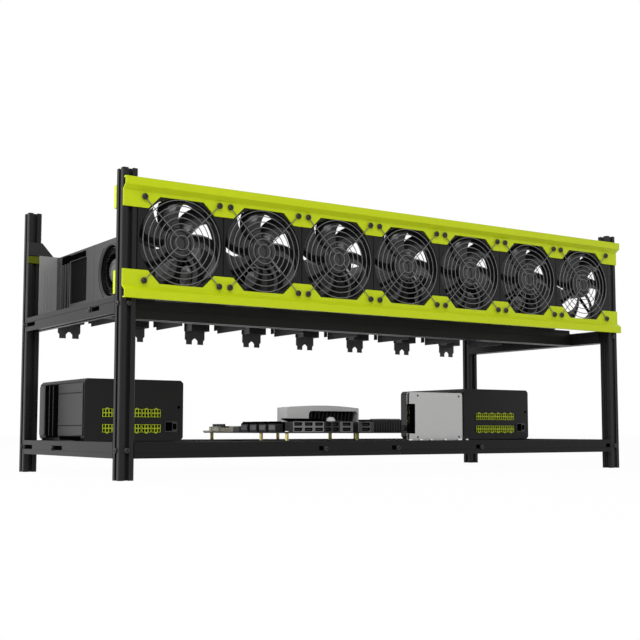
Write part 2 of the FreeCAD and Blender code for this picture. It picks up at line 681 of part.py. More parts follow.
keep(together("standoffs", [standoff(f"standoff_{i}_{j}", x, y) for i, x in enumerate(barPlaces)
                            for j, y in enumerate((size.standoffNear, size.standoffNext,
                                                   size.standoffFar))]), "standoffs")


def port_stack(name, west, wide, columns):
    """A port block with two rows of openings in its front."""
    block = box(name + "_block", west, boardY, boardTop, wide, size.portLong, size.portHigh)
    column, row = wide / columns, size.portHigh / 2
    holes = [box(f"{name}_hole_{c}_{r}", west + column * c + size.portRim, boardY - size.portRim,
                 boardTop + row * r + size.portRim, column - size.portRim * 2,
                 size.portDeep + size.portRim, row - size.portRim * 2)
             for c in range(columns) for r in range(2)]
    return cut(name, block, holes)


keep(together("board_ports", [port_stack("ports_triple", size.portsTripleWest, size.portsTripleWide, 3),
                              port_stack("ports_pair", size.portsPairWest, size.portsPairWide, 2),
                              port_stack("ports_tall", size.portsTallWest, size.portsTallWide, 1),
                              port_stack("ports_last", size.portsLastWest, size.portsLastWide, 1)]),
     "board_ports")
keep(together("memory_slots", [box(f"memory_slot_{i}", size.memoryWest,
                                   boardY + size.memoryFront + size.memoryPitch * i, boardTop,
                                   size.memoryLong, size.memoryThick, size.memoryHigh)
                               for i in range(whole(size.memoryCount))]), "memory_slots")
keep(together("card_slots", [box(f"card_slot_{i}", size.cardSlotWest + size.cardSlotPitch * i,
                                 boardY + size.cardSlotFront, boardTop, size.cardSlotThick,
                                 size.cardSlotLong, size.cardSlotHigh)
                             for i in range(whole(size.cardSlotCount))]), "card_slots")
blocks = [box(f"edge_block_{i}", size.boardWest + size.edgeBlockInset,
              boardY + size.edgeBlockFront + size.edgeBlockPitch * i, boardTop, size.edgeBlockWide,
              size.edgeBlockLong, size.edgeBlockHigh) for i in range(whole(size.edgeBlockCount))]
blocks.append(box("front_cooler", size.coolerWest, boardY + size.coolerFront, boardTop,
                  size.coolerWide, size.coolerLong, size.coolerHigh))
blocks.append(box("power_plug", size.powerPlugWest, boardY + size.boardDeep - size.powerPlugWide,
                  boardTop, size.powerPlugLong, size.powerPlugWide, size.powerPlugHigh))
keep(together("board_blocks", blocks), "board_blocks")


def cover_shape():
    """Light cover behind the ports, with an arched top."""
    wide, crown = float(size.coverWide), float(size.coverCrown)
    high = float(size.coverTop - boardTop)
    arch = Part.Arc(Vector(0, 0, high - crown), Vector(wide / 2, 0, high), Vector(wide, 0, high - crown))
    sides = Part.makePolygon([arch.EndPoint, Vector(wide, 0, 0), Vector(0, 0, 0), arch.StartPoint])
    face = Part.Face(Part.Wire([arch.toShape()] + sides.Edges))
    return face.extrude(Vector(0, float(size.coverDeep), 0))


coverY = frontFace + size.coverFront
mouthWest = size.coverWest + size.coverMouthWest
mouthBottom = size.coverTop - size.coverMouthDrop - size.coverMouthHigh
mouth = box("cover_mouth", mouthWest, coverY, mouthBottom, size.coverMouthWide, size.coverMouthDeep,
            size.coverMouthHigh)
finPitch = size.coverMouthWide / (size.coverFins + 1)
coverFins = [box(f"cover_fin_{i}", mouthWest + finPitch * (i + 1) - size.coverFinThick / 2,
                 coverY + size.coverFinThick, mouthBottom, size.coverFinThick,
                 size.coverMouthDeep - size.coverFinThick, size.coverMouthHigh)
             for i in range(whole(size.coverFins))]
coverBlock = feature("cover_block", cover_shape(), size.coverWest, coverY, boardTop)
keep(fused("port_cover", [cut("cover_cut", coverBlock, [mouth])] + coverFins), "port_cover")

# Low passive heatsink on the processor
sinkY = frontFace + size.sinkFront
sinkPitch = (size.sinkSide - size.sinkFinThick) / (size.sinkFins - 1)
sink = [box("sink_base", size.sinkWest, sinkY, boardTop, size.sinkSide, size.sinkSide, size.sinkBase)]
sink += [box(f"sink_fin_{i}", size.sinkWest + sinkPitch * i, sinkY, boardTop + size.sinkBase,
             size.sinkFinThick, size.sinkSide, size.sinkHigh - size.sinkBase)
         for i in range(whole(size.sinkFins))]
keep(fused("processor_heatsink", sink), "processor_heatsink")

# Drive, standing on the front tray rail with a plug recess in its left edge
driveY = frontFace + (size.profile - size.driveThick) / 2
drive = box("drive_case", size.driveWest, driveY, trayTop, size.driveLong, size.driveThick,
            size.driveHigh)
recess = box("drive_recess", size.driveWest - size.overcut, driveY + size.driveWall,
             trayTop + size.drivePlugInset, size.drivePlugHigh + size.overcut,
             size.driveThick - size.driveWall * 2, size.drivePlugLong)
keep(cut("drive", drive, [recess]), "drive")

doc.recompute()
for thing in doc.Objects:
    if "Invalid" in thing.State or "Error" in thing.State:
        raise RuntimeError(f"{thing.Label} did not compute: {thing.State}")
for thing in kept:
    if thing.Shape.isNull() or not thing.Shape.isValid():
        raise RuntimeError(f"{thing.Label} has no sound shape")

os.makedirs("parts", exist_ok=True)
for thing in kept:
    thing.Shape.exportStep(os.path.join("parts", thing.Label + ".step"))
print(len(kept), "pieces written")
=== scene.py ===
import math
import random

import bmesh
import bpy
from mathutils import Euler, Matrix, Vector


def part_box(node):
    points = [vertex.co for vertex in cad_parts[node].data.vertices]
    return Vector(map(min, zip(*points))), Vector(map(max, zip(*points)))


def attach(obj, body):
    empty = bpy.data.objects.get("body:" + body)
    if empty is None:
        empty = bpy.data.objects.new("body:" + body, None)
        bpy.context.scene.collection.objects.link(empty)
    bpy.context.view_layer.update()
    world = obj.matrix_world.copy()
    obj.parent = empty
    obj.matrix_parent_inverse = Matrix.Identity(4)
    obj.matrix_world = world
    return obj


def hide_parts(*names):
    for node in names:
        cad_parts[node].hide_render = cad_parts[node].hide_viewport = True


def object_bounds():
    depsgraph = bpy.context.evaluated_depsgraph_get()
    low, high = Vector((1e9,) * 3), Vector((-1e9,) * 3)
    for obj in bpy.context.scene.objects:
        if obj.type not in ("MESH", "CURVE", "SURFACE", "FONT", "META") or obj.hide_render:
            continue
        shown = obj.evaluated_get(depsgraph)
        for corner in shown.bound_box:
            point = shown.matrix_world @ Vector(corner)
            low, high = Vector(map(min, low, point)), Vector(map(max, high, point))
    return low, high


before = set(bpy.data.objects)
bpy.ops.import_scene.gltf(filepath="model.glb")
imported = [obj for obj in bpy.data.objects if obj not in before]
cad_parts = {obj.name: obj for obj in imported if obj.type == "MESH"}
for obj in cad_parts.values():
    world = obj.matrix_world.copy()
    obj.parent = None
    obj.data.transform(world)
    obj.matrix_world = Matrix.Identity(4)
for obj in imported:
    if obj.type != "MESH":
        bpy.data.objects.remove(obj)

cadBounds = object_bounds()


# Nodes for shaders and geometry. A sum written with links adds Math nodes.
class Link:
    def __init__(self, maker, socket):
        self.maker = maker
        self.socket = socket

    def __add__(self, other):
        return self.maker.maths("ADD", self, other)

    def __sub__(self, other):
        return self.maker.maths("SUBTRACT", self, other)

    def __rsub__(self, other):
        return self.maker.maths("SUBTRACT", other, self)

    def __mul__(self, other):
        return self.maker.maths("MULTIPLY", self, other)

    def __truediv__(self, other):
        return self.maker.maths("DIVIDE", self, other)

    __radd__ = __add__
    __rmul__ = __mul__


class NodeMaker:
    def __init__(self, tree):
        self.tree = tree

    def feed(self, socket, value):
        if isinstance(value, Link):
            self.tree.links.new(value.socket, socket)
        elif isinstance(value, bpy.types.NodeSocket):
            self.tree.links.new(value, socket)
        else:
            socket.default_value = value

    def add(self, kind, settings=None, sockets=None):
        node = self.tree.nodes.new(kind)
        for name, value in (settings or {}).items():
            if name == "stops":
                self.setStops(node.color_ramp, value)
            else:
                setattr(node, name, value)
        for name, value in (sockets or {}).items():
            self.feed(node.inputs[name], value)
        return node

    def setStops(self, ramp, stops):
        while len(ramp.elements) > 1:
            ramp.elements.remove(ramp.elements[-1])
        for i, (place, grey) in enumerate(stops):
            stop = ramp.elements[0] if i == 0 else ramp.elements.new(place)
            stop.position = place
            stop.color = (grey, grey, grey, 1)

    def link(self, kind, output, settings=None, sockets=None):
        return Link(self, self.add(kind, settings, sockets).outputs[output])

    def maths(self, operation, first, second):
        return self.link("ShaderNodeMath", 0, {"operation": operation}, {0: first, 1: second})


finishes = {}


class Finish(NodeMaker):
    def __init__(self, name, fixed):
        self.material = bpy.data.materials.new(name)
        self.material.use_nodes = True
        super().__init__(self.material.node_tree)
        self.shader = self.tree.nodes["Principled BSDF"]
        for socket, value in fixed.items():
            self.shader.inputs[socket].default_value = value
        self.place = self.link("ShaderNodeTexCoord", "Object")
        finishes[name] = self.material

    def stretched(self, scale, turn=(0, 0, 0)):
        return self.link("ShaderNodeMapping", "Vector", None,
                         {"Vector": self.place, "Scale": scale, "Rotation": turn})

    def noise(self, scale, detail=2.0, rough=0.5, place=None):
        return self.link("ShaderNodeTexNoise", "Fac", None,
                         {"Vector": place or self.place, "Scale": scale, "Detail": detail,
                          "Roughness": rough})

    def cells(self, scale, place=None, output="Distance", feature="F1"):
        return self.link("ShaderNodeTexVoronoi", output, {"feature": feature},
                         {"Vector": place or self.place, "Scale": scale})

    def steps(self, value, stops):
        return self.link("ShaderNodeValToRGB", "Color", {"stops": stops}, {"Fac": value})

    def mixed(self, factor, first, second):
        colours = [c if isinstance(c, Link) else (*c, 1.0) for c in (first, second)]
        return self.link("ShaderNodeMix", 2, {"data_type": "RGBA", "clamp_factor": True},
                         {0: factor, 6: colours[0], 7: colours[1]})

    def bump(self, height, strength, distance):
        normal = self.link("ShaderNodeBump", "Normal", None,
                           {"Height": height, "Strength": strength, "Distance": distance})
        self.to("Normal", normal)

    def to(self, socket, value):
        self.feed(self.shader.inputs[socket], value)


def grainedFinish(name, dark, light, rough, spread=0.1, grain=900, cloud=12, gloss=0.25, metal=0.0,
                  bump=0.15, stretch=(1, 1, 1)):
    finish = Finish(name, {"Specular IOR Level": gloss, "Metallic": metal})
    place = finish.stretched(stretch)
    fine = finish.noise(grain, 3.0, 0.6, place)
    broad = finish.noise(cloud, 3.0)
    finish.to("Base Color", finish.mixed(fine * 0.55 + broad * 0.45, dark, light))
    finish.to("Roughness", broad * spread + fine * (spread * 0.6) + (rough - spread * 0.8))
    finish.bump(fine, bump, 0.0002)


def boardFinish():
    finish = Finish("circuitBoard", {"Specular IOR Level": 0.35})
    tracks = finish.cells(160, finish.stretched((1, 3, 1)), "Distance", "DISTANCE_TO_EDGE")
    tracks = finish.steps(tracks, [(0.0, 1.0), (0.06, 0.8), (0.12, 0.0)])
    pads = finish.steps(finish.cells(420), [(0.0, 1.0), (0.2, 1.0), (0.26, 0.0)])
    islands = finish.steps(finish.noise(30, 2.0), [(0.45, 0.0), (0.55, 1.0)])
    lacquer = finish.mixed(tracks * 0.6, (0.008, 0.009, 0.011), (0.035, 0.038, 0.042))
    finish.to("Base Color", finish.mixed(pads * islands * 0.5, lacquer, (0.30, 0.27, 0.20)))
    finish.to("Roughness", 0.42 - pads * islands * 0.12)
    finish.bump(tracks, 0.3, 0.0001)


def bladeFinish():
    finish = Finish("bladePlastic", {"Specular IOR Level": 0.5})
    flow = finish.noise(60, 3.0, 0.55, finish.stretched((1, 0.4, 1)))
    finish.to("Base Color", finish.mixed(flow, (0.006, 0.006, 0.007), (0.014, 0.014, 0.016)))
    finish.to("Roughness", 0.13 + flow * 0.12)
    finish.bump(finish.noise(500, 2.0), 0.04, 0.0001)


# Values of each plain finish: its two shades, its roughness and what differs from the usual
finishValues = {
    "blackBar": {"dark": (0.008, 0.008, 0.0082), "light": (0.016, 0.016, 0.0164), "rough": 0.38,
                 "gloss": 0.2},
    # Painted shade: a darker copy of blackBar, for the long front rail of the tray
    "blackBarPaintedShade": {"dark": (0.004, 0.004, 0.0041), "light": (0.009, 0.009, 0.0092), "rough": 0.38,
                "gloss": 0.15},
    "limeSteel": {"dark": (0.55, 0.67, 0.003), "light": (0.61, 0.73, 0.006), "rough": 0.42, "spread": 0.06,
                  "grain": 1400, "cloud": 6, "gloss": 0.25, "bump": 0.25},
    # Painted shade: the same lime steel made dark olive, for the card rail that stands in shadow
    "limeSteelPaintedShade": {"dark": (0.08, 0.1, 0.002), "light": (0.11, 0.13, 0.003), "rough": 0.5, "spread": 0.06,
                   "grain": 1400, "cloud": 6, "gloss": 0.15, "bump": 0.25},
    "blackSteel": {"dark": (0.01, 0.01, 0.011), "light": (0.018, 0.018, 0.02), "rough": 0.34,
                   "gloss": 0.35},
    "guardWire": {"dark": (0.11, 0.11, 0.112), "light": (0.18, 0.18, 0.184), "rough": 0.3, "gloss": 0.5,
                  "metal": 0.3, "bump": 0.05},
    "fanPlastic": {"dark": (0.004, 0.004, 0.0042), "light": (0.008, 0.008, 0.0084), "rough": 0.42,
                   "gloss": 0.2},
    "shroudPlastic": {"dark": (0.016, 0.016, 0.018), "light": (0.03, 0.03, 0.033), "rough": 0.45,
                      "gloss": 0.35, "bump": 0.4},
    "shroudPanel": {"dark": (0.026, 0.026, 0.0265), "light": (0.047, 0.047, 0.048), "rough": 0.42,
                    "gloss": 0.4, "stretch": (1, 0.2, 1)},
    # Painted shade: the heatsink fins inside the card windows, darkened far below sinkMetal
    "finMetalPaintedShade": {"dark": (0.003, 0.003, 0.003), "light": (0.012, 0.012, 0.012), "rough": 0.4, "gloss": 0.2,
                 "metal": 0.3, "stretch": (1, 0.2, 1)},
    # Near-black matte: painted shade in holes, recesses and openings, and the colour of a few black parts
    "blackAndPaintedShade": {"dark": (0.0008, 0.0008, 0.0008), "light": (0.002, 0.002, 0.002), "rough": 0.9,
                "gloss": 0.0},
    "bracketSteel": {"dark": (0.05, 0.05, 0.053), "light": (0.1, 0.1, 0.105), "rough": 0.4, "gloss": 0.5,
                     "metal": 0.7, "stretch": (4, 1, 0.15)},
    "coverSteel": {"dark": (0.25, 0.25, 0.25), "light": (0.34, 0.34, 0.34), "rough": 0.45, "gloss": 0.35,
                   "metal": 0.2, "stretch": (4, 1, 0.15)},
    "wheelPlastic": {"dark": (0.05, 0.05, 0.05), "light": (0.085, 0.085, 0.086), "rough": 0.3,
                     "gloss": 0.5},
    "limePlastic": {"dark": (0.48, 0.6, 0.006), "light": (0.56, 0.68, 0.012), "rough": 0.35, "spread": 0.05,
                    "gloss": 0.5, "bump": 0.1},
    "portMetal": {"dark": (0.14, 0.14, 0.142), "light": (0.22, 0.22, 0.223), "rough": 0.34, "gloss": 0.5,
                  "metal": 0.9, "stretch": (0.2, 1, 1)},
    "brightMetal": {"dark": (0.55, 0.55, 0.56), "light": (0.72, 0.72, 0.73), "rough": 0.28, "gloss": 0.5,
                    "metal": 1.0, "stretch": (1, 1, 0.2)},
    "slotPlastic": {"dark": (0.014, 0.014, 0.016), "light": (0.03, 0.03, 0.032), "rough": 0.5,
                    "gloss": 0.3},
    "greyPlastic": {"dark": (0.12, 0.12, 0.13), "light": (0.2, 0.2, 0.21), "rough": 0.5, "gloss": 0.4},
    "creamPlastic": {"dark": (0.66, 0.62, 0.5), "light": (0.74, 0.7, 0.58), "rough": 0.45, "gloss": 0.4},
    "palePlastic": {"dark": (0.74, 0.745, 0.745), "light": (0.82, 0.825, 0.825), "rough": 0.35,
                    "spread": 0.08, "grain": 1200, "cloud": 9, "gloss": 0.5, "bump": 0.08},
    "sinkMetal": {"dark": (0.28, 0.28, 0.29), "light": (0.42, 0.42, 0.43), "rough": 0.36, "gloss": 0.5,
                  "metal": 0.85, "stretch": (1, 0.15, 1)},
    "brassPost": {"dark": (0.42, 0.38, 0.13), "light": (0.56, 0.5, 0.2), "rough": 0.3, "gloss": 0.5,
                  "metal": 0.9, "bump": 0.05},
    "goldContact": {"dark": (0.75, 0.52, 0.17), "light": (0.85, 0.64, 0.26), "rough": 0.25, "gloss": 0.5,
                    "metal": 1.0, "bump": 0.03},
    "driveCase": {"dark": (0.48, 0.475, 0.475), "light": (0.56, 0.555, 0.555), "rough": 0.42,
                  "spread": 0.08, "grain": 1600, "cloud": 10, "gloss": 0.4, "bump": 0.2},
    "supplySteel": {"dark": (0.007, 0.007, 0.007), "light": (0.013, 0.013, 0.0132), "rough": 0.46,
                    "gloss": 0.2, "grain": 1500, "bump": 0.6},
    "restRubber": {"dark": (0.006, 0.006, 0.006), "light": (0.014, 0.014, 0.014), "rough": 0.7,
                   "gloss": 0.2},
    "screwSteel": {"dark": (0.018, 0.017, 0.016), "light": (0.04, 0.037, 0.034), "rough": 0.3, "gloss": 0.5,
                   "metal": 0.6, "bump": 0.05},
}
for finishName, values in finishValues.items():
    grainedFinish(finishName, **values)
boardFinish()
bladeFinish()
print("finishes made:", len(finishes))

# The finish of each CAD node, by the start of its name
nodeFinishes = {
    # The front rail of the tray takes the darker copy of blackBar, which paints shade on it
    "post_": "blackBar", "tray_rail_front": "blackBarPaintedShade", "tray_": "blackBar", "shelf_": "blackBar",
    "board_bars": "blackBar", "fan_rail": "limeSteel", "card_rail_ears": "blackSteel",
    # The card rail is lime steel with painted shade, in the darker copy
    "card_rail": "limeSteelPaintedShade",
    "fan_frame": "fanPlastic", "fan_rotor": "bladePlastic", "card_blower": "bladePlastic",
    "power_supply_fan": "bladePlastic", "fan_guards": "guardWire", "card_rest": "restRubber",
    "card_shrouds": "shroudPlastic", "card_boards": "circuitBoard", "card_brackets": "bracketSteel",
    "power_supply": "supplySteel", "power_sockets": "limePlastic", "motherboard": "circuitBoard",
    "board_ports": "portMetal", "memory_slots": "slotPlastic", "card_slots": "slotPlastic",
    "board_blocks": "slotPlastic", "port_cover": "palePlastic", "processor_heatsink": "sinkMetal",
    "standoffs": "brassPost", "drive": "driveCase",
}
for nodeName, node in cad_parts.items():
    start = next(key for key in nodeFinishes if nodeName.startswith(key))
    node.data.materials.clear()
    node.data.materials.append(finishes[nodeFinishes[start]])


# Shapes in mesh code
def circlePoints(radius, count, middle=(0, 0), start=0.0, end=math.tau):
    step = (end - start) / (count if end - start == math.tau else count - 1)
    return [(middle[0] + radius * math.cos(start + step * i), middle[1] + radius * math.sin(start + step * i))
            for i in range(count)]


def roundedPoints(west, south, east, north, radius, count=4):
    points = []
    for x, y, turn in ((east - radius, south + radius, -90), (east - radius, north - radius, 0),
                       (west + radius, north - radius, 90), (west + radius, south + radius, 180)):
        for i in range(count + 1):
            angle = math.radians(turn + 90 * i / count)
            points.append((x + radius * math.cos(angle), y + radius * math.sin(angle)))
    return points


# A flat plate lies in local X and Y; these turns stand it up without mirroring it.
facingFront = Matrix(((1, 0, 0, 0), (0, 0, -1, 0), (0, 1, 0, 0), (0, 0, 0, 1)))
facingBack = Matrix(((-1, 0, 0, 0), (0, 0, 1, 0), (0, 1, 0, 0), (0, 0, 0, 1)))
facingWest = Matrix(((0, 0, -1, 0), (-1, 0, 0, 0), (0, 1, 0, 0), (0, 0, 0, 1)))
facingEast = Matrix(((0, 0, 1, 0), (1, 0, 0, 0), (0, 1, 0, 0), (0, 0, 0, 1)))
facingUp = Matrix.Identity(4)


def frontAt(y):
    return Matrix.Translation((0, y, 0)) @ facingFront


def rectangle(west, south, east, north):
    return [(west, south), (east, south), (east, north), (west, north)]


class Shape:
    def __init__(self):
        self.bm = bmesh.new()

    def box(self, low, high):
        corners = [self.bm.verts.new((x, y, z)) for x in (low[0], high[0]) for y in (low[1], high[1])
                   for z in (low[2], high[2])]
        for ids in ((0, 1, 3, 2), (4, 6, 7, 5), (0, 4, 5, 1), (2, 3, 7, 6), (0, 2, 6, 4), (1, 5, 7, 3)):
            self.bm.faces.new([corners[i] for i in ids])

    def loft(self, rings, turn=facingUp, endless=False):
        rows = [[self.bm.verts.new(turn @ Vector(p)) for p in ring] for ring in rings]
        count = len(rows[0])
        for near, far in zip(rows, rows[1:]):
            for i in range(count):
                j = (i + 1) % count
                self.bm.faces.new((near[i], near[j], far[j], far[i]))
        if not endless:
            self.bm.faces.new(rows[0])
            self.bm.faces.new(rows[-1])

    def turned(self, profile, turn=facingUp, count=24):
        rings = [[(r * math.cos(a), r * math.sin(a), h) for a in
                  (math.tau * i / count for i in range(count))] for r, h in profile]
        self.loft(rings, turn)

    def ring(self, profile, count):
        angles = [math.tau * i / count for i in range(count + 1)]
        rows = [[(r * math.cos(a), r * math.sin(a), h) for r, h in profile] for a in angles]
        self.loft(rows, endless=True)

    def plate(self, outlines, thick, turn=facingUp, bevel=0.0):
        curve = bpy.data.curves.new("plate", "CURVE")
        curve.dimensions = "2D"
        curve.fill_mode = "BOTH"
        curve.extrude = thick / 2 - bevel
        curve.bevel_depth = bevel
        curve.bevel_resolution = 0
        curve.offset = -bevel
        for outline in outlines:
            spline = curve.splines.new("POLY")
            spline.points.add(len(outline) - 1)
            for point, (u, v) in zip(spline.points, outline):
                point.co = (u, v, 0, 1)
            spline.use_cyclic_u = True
        holder = bpy.data.objects.new("plate", curve)
        mesh = bpy.data.meshes.new_from_object(holder)
        mesh.transform(turn @ Matrix.Translation((0, 0, thick / 2)))
        self.bm.from_mesh(mesh)
        bpy.data.objects.remove(holder)
        bpy.data.curves.remove(curve)
        bpy.data.meshes.remove(mesh)

    def mesh(self, source, turn=facingUp):
        copy = source.copy()
        copy.transform(turn)
        self.bm.from_mesh(copy)
        bpy.data.meshes.remove(copy)

    def asMesh(self, name, smooth=0.0):
        bmesh.ops.remove_doubles(self.bm, verts=self.bm.verts, dist=0.000002)
        bmesh.ops.recalc_face_normals(self.bm, faces=self.bm.faces)
        mesh = bpy.data.meshes.new(name)
        self.bm.to_mesh(mesh)
        self.bm.free()
        if smooth:
            mesh.shade_smooth()
            mesh.set_sharp_from_angle(angle=math.radians(smooth))
        return mesh


def addPiece(name, mesh, finish, slot, body="frame", bevel=0.0, replaced=()):
    piece = bpy.data.objects.new(name, mesh)
    bpy.context.scene.collection.objects.link(piece)
    mesh.materials.clear()
    mesh.materials.append(finishes[finish])
    if bevel:
        modifier = piece.modifiers.new("edges", "BEVEL")
        modifier.width = bevel
        modifier.segments = 2
        modifier.limit_method = "ANGLE"
        modifier.angle_limit = math.radians(40)
    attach(piece, body)
    if replaced:
        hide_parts(*replaced)
    return piece


def addShape(name, shape, smooth, finish, slot, **more):
    return addPiece(name, shape.asMesh(name, smooth), finish, slot, **more)


# Geometry Nodes trees
def newTree(name, inputs):
    tree = bpy.data.node_groups.new(name, "GeometryNodeTree")
    tree.interface.new_socket("Geometry", in_out="INPUT", socket_type="NodeSocketGeometry")
    for label, kind, value in inputs:
        socket = tree.interface.new_socket(label, in_out="INPUT", socket_type="NodeSocket" + kind)
        if value is not None:
            socket.default_value = value
    tree.interface.new_socket("Geometry", in_out="OUTPUT", socket_type="NodeSocketGeometry")
    maker = NodeMaker(tree)
    given = maker.add("NodeGroupInput")
    values = {label: Link(maker, given.outputs[label]) for label in ["Geometry"] + [i[0] for i in inputs]}
    return tree, maker, values


def endTree(tree, maker, geometry, finish):
    plain = maker.link("GeometryNodeRealizeInstances", "Geometry", None, {"Geometry": geometry})
    painted = maker.link("GeometryNodeSetMaterial", "Geometry", None, {"Geometry": plain, "Material": finish})
    maker.add("NodeGroupOutput", None, {"Geometry": painted})
    return tree


def grownMesh(base, tree, values):
    holder = bpy.data.objects.new("holder", base)
    bpy.context.scene.collection.objects.link(holder)
    modifier = holder.modifiers.new(tree.name, "NODES")
    modifier.node_group = tree
    identifiers = {item.name: item.identifier for item in tree.interface.items_tree if item.in_out == "INPUT"}
    for label, value in values.items():
        modifier[identifiers[label]] = value
    grown = holder.evaluated_get(bpy.context.evaluated_depsgraph_get())
    mesh = bpy.data.meshes.new_from_object(grown)
    holder.modifiers.remove(modifier)
    bpy.data.objects.remove(holder)
    return mesh


def pointMesh(name, points):
    mesh = bpy.data.meshes.new(name)
    mesh.from_pydata([Vector(p[0]) for p in points], [], [])
    for label, kind, key, column in (("aim", "FLOAT_VECTOR", "vector", 1), ("size", "FLOAT", "value", 2)):
        attribute = mesh.attributes.new(label, kind, "POINT")
        for i, point in enumerate(points):
            setattr(attribute.data[i], key, point[column])
    return mesh


def copiesTree():
    tree, maker, given = newTree("copiesOnPoints", [("Copy", "Object", None), ("Scale", "Float", 1.0),
                                                    ("Finish", "Material", None)])
    copy = maker.link("GeometryNodeObjectInfo", "Geometry", None, {"Object": given["Copy"]})
    aim = maker.link("GeometryNodeInputNamedAttribute", "Attribute", {"data_type": "FLOAT_VECTOR"},
                     {"Name": "aim"})
    size = maker.link("GeometryNodeInputNamedAttribute", "Attribute", {"data_type": "FLOAT"},
                      {"Name": "size"})
    turn = maker.link("FunctionNodeAlignRotationToVector", "Rotation", {"axis": "Z"}, {"Vector": aim})
    placed = maker.link("GeometryNodeInstanceOnPoints", "Instances", None,
                        {"Points": given["Geometry"], "Instance": copy, "Rotation": turn,
                         "Scale": size * given["Scale"]})
    return endTree(tree, maker, placed, given["Finish"])


def roundTree():
    tree, maker, given = newTree("copiesRoundAxis", [("Count", "Int", 7), ("Finish", "Material", None)])
    points = maker.link("GeometryNodePoints", 0, None, {"Count": given["Count"]})
    index = maker.link("GeometryNodeInputIndex", 0)
    turn = maker.link("ShaderNodeCombineXYZ", 0, None, {"Z": index * math.tau / given["Count"]})
    turned = maker.link("GeometryNodeInstanceOnPoints", "Instances", None,
                        {"Points": points, "Instance": given["Geometry"], "Rotation": turn})
    return endTree(tree, maker, turned, given["Finish"])


def guardTree():
    tree, maker, given = newTree("wireGuard", [
        ("Rings", "Int", 7), ("Outer Radius", "Float", 0.054), ("Ring Step", "Float", 0.0078),
        ("Wire", "Float", 0.0016), ("Corner Reach", "Float", 0.0742), ("Spokes", "Int", 4),
        ("Finish", "Material", None)])
    index = maker.link("GeometryNodeInputIndex", 0)
    ringPoints = maker.link("GeometryNodePoints", 0, None, {"Count": given["Rings"]})
    circle = maker.link("GeometryNodeCurvePrimitiveCircle", 0, None, {"Resolution": 56, "Radius": 1.0})
    rings = maker.link("GeometryNodeInstanceOnPoints", "Instances", None,
                       {"Points": ringPoints, "Instance": circle,
                        "Scale": given["Outer Radius"] - index * given["Ring Step"]})
    inner = given["Outer Radius"] - (given["Rings"] - 1) * given["Ring Step"]
    inward = maker.link("ShaderNodeCombineXYZ", 0, None, {"X": inner, "Z": given["Wire"]})
    outward = maker.link("ShaderNodeCombineXYZ", 0, None, {"X": given["Corner Reach"] - 0.0034,
                                                          "Z": given["Wire"]})
    spoke = maker.link("GeometryNodeCurvePrimitiveLine", 0, None, {"Start": inward, "End": outward})
    eye = maker.link("GeometryNodeCurvePrimitiveCircle", 0, None, {"Resolution": 16, "Radius": 0.0034})
    corner = maker.link("ShaderNodeCombineXYZ", 0, None, {"X": given["Corner Reach"], "Z": given["Wire"]})
    eye = maker.link("GeometryNodeTransform", 0, None, {"Geometry": eye, "Translation": corner})
    arm = maker.add("GeometryNodeJoinGeometry")
    for part in (spoke, eye):
        tree.links.new(part.socket, arm.inputs[0])
    spokePoints = maker.link("GeometryNodePoints", 0, None, {"Count": given["Spokes"]})
    quarter = maker.link("ShaderNodeCombineXYZ", 0, None,
                         {"Z": (index + 0.5) * math.tau / given["Spokes"]})
    arms = maker.link("GeometryNodeInstanceOnPoints", "Instances", None,
                      {"Points": spokePoints, "Instance": arm.outputs[0], "Rotation": quarter})
    both = maker.add("GeometryNodeJoinGeometry")
    for part in (rings, arms):
        tree.links.new(part.socket, both.inputs[0])
    lines = maker.link("GeometryNodeRealizeInstances", "Geometry", None, {"Geometry": both.outputs[0]})
    section = maker.link("GeometryNodeCurvePrimitiveCircle", 0, None,
                         {"Resolution": 6, "Radius": given["Wire"] / 2})
    wires = maker.link("GeometryNodeCurveToMesh", "Mesh", None,
                       {"Curve": lines, "Profile Curve": section, "Fill Caps": True})
    placed = maker.link("GeometryNodeInstanceOnPoints", "Instances", None,
                        {"Points": given["Geometry"], "Instance": wires})
    return endTree(tree, maker, placed, given["Finish"])


def rowTree():
    tree, maker, given = newTree("rowOfCopies", [("Count", "Int", 4), ("Step", "Vector", (0.01, 0, 0)),
                                                 ("Finish", "Material", None)])
    line = maker.link("GeometryNodeMeshLine", 0, {"mode": "OFFSET"},
                      {"Count": given["Count"], "Offset": given["Step"]})
    row = maker.link("GeometryNodeInstanceOnPoints", "Instances", None,
                     {"Points": line, "Instance": given["Geometry"]})
    return endTree(tree, maker, row, given["Finish"])


trees = {"copies": copiesTree(), "round": roundTree(), "guard": guardTree(), "row": rowTree()}


def addCopies(name, copyMesh, points, finish, slot):
    copy = bpy.data.objects.new("copy", copyMesh)
    mesh = grownMesh(pointMesh(name, points), trees["copies"],
                     {"Copy": copy, "Scale": 1.0, "Finish": finishes[finish]})
    bpy.data.objects.remove(copy)
    addPiece(name, mesh, finish, slot)


def wireMesh(name, places, inputs, turn):
    base = bpy.data.meshes.new(name)
    base.from_pydata(places, [], [])
    mesh = grownMesh(base, trees["guard"], {**inputs, "Finish": finishes["guardWire"]})
    mesh.transform(turn)
    mesh.shade_smooth()
    return mesh


print("trees made:", len(trees))

# Fans: frames, rotors, guards
fanRow = {"count": 7, "size": 0.12, "bore": 0.116, "depth": 0.025, "corner": 0.006, "flange": 0.004,
          "barrelWall": 0.0012, "screwPitch": 0.105, "screwHole": 0.0022, "motorPlate": 0.003,
          "hubRadius": 0.02, "strutWide": 0.005, "tipGap": 0.0013}
fanMiddles = []
for i in range(fanRow["count"]):
    low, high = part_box(f"fan_frame_{i + 1}")
    fanMiddles.append(Vector(((low.x + high.x) / 2, low.y, (low.z + high.z) / 2)))


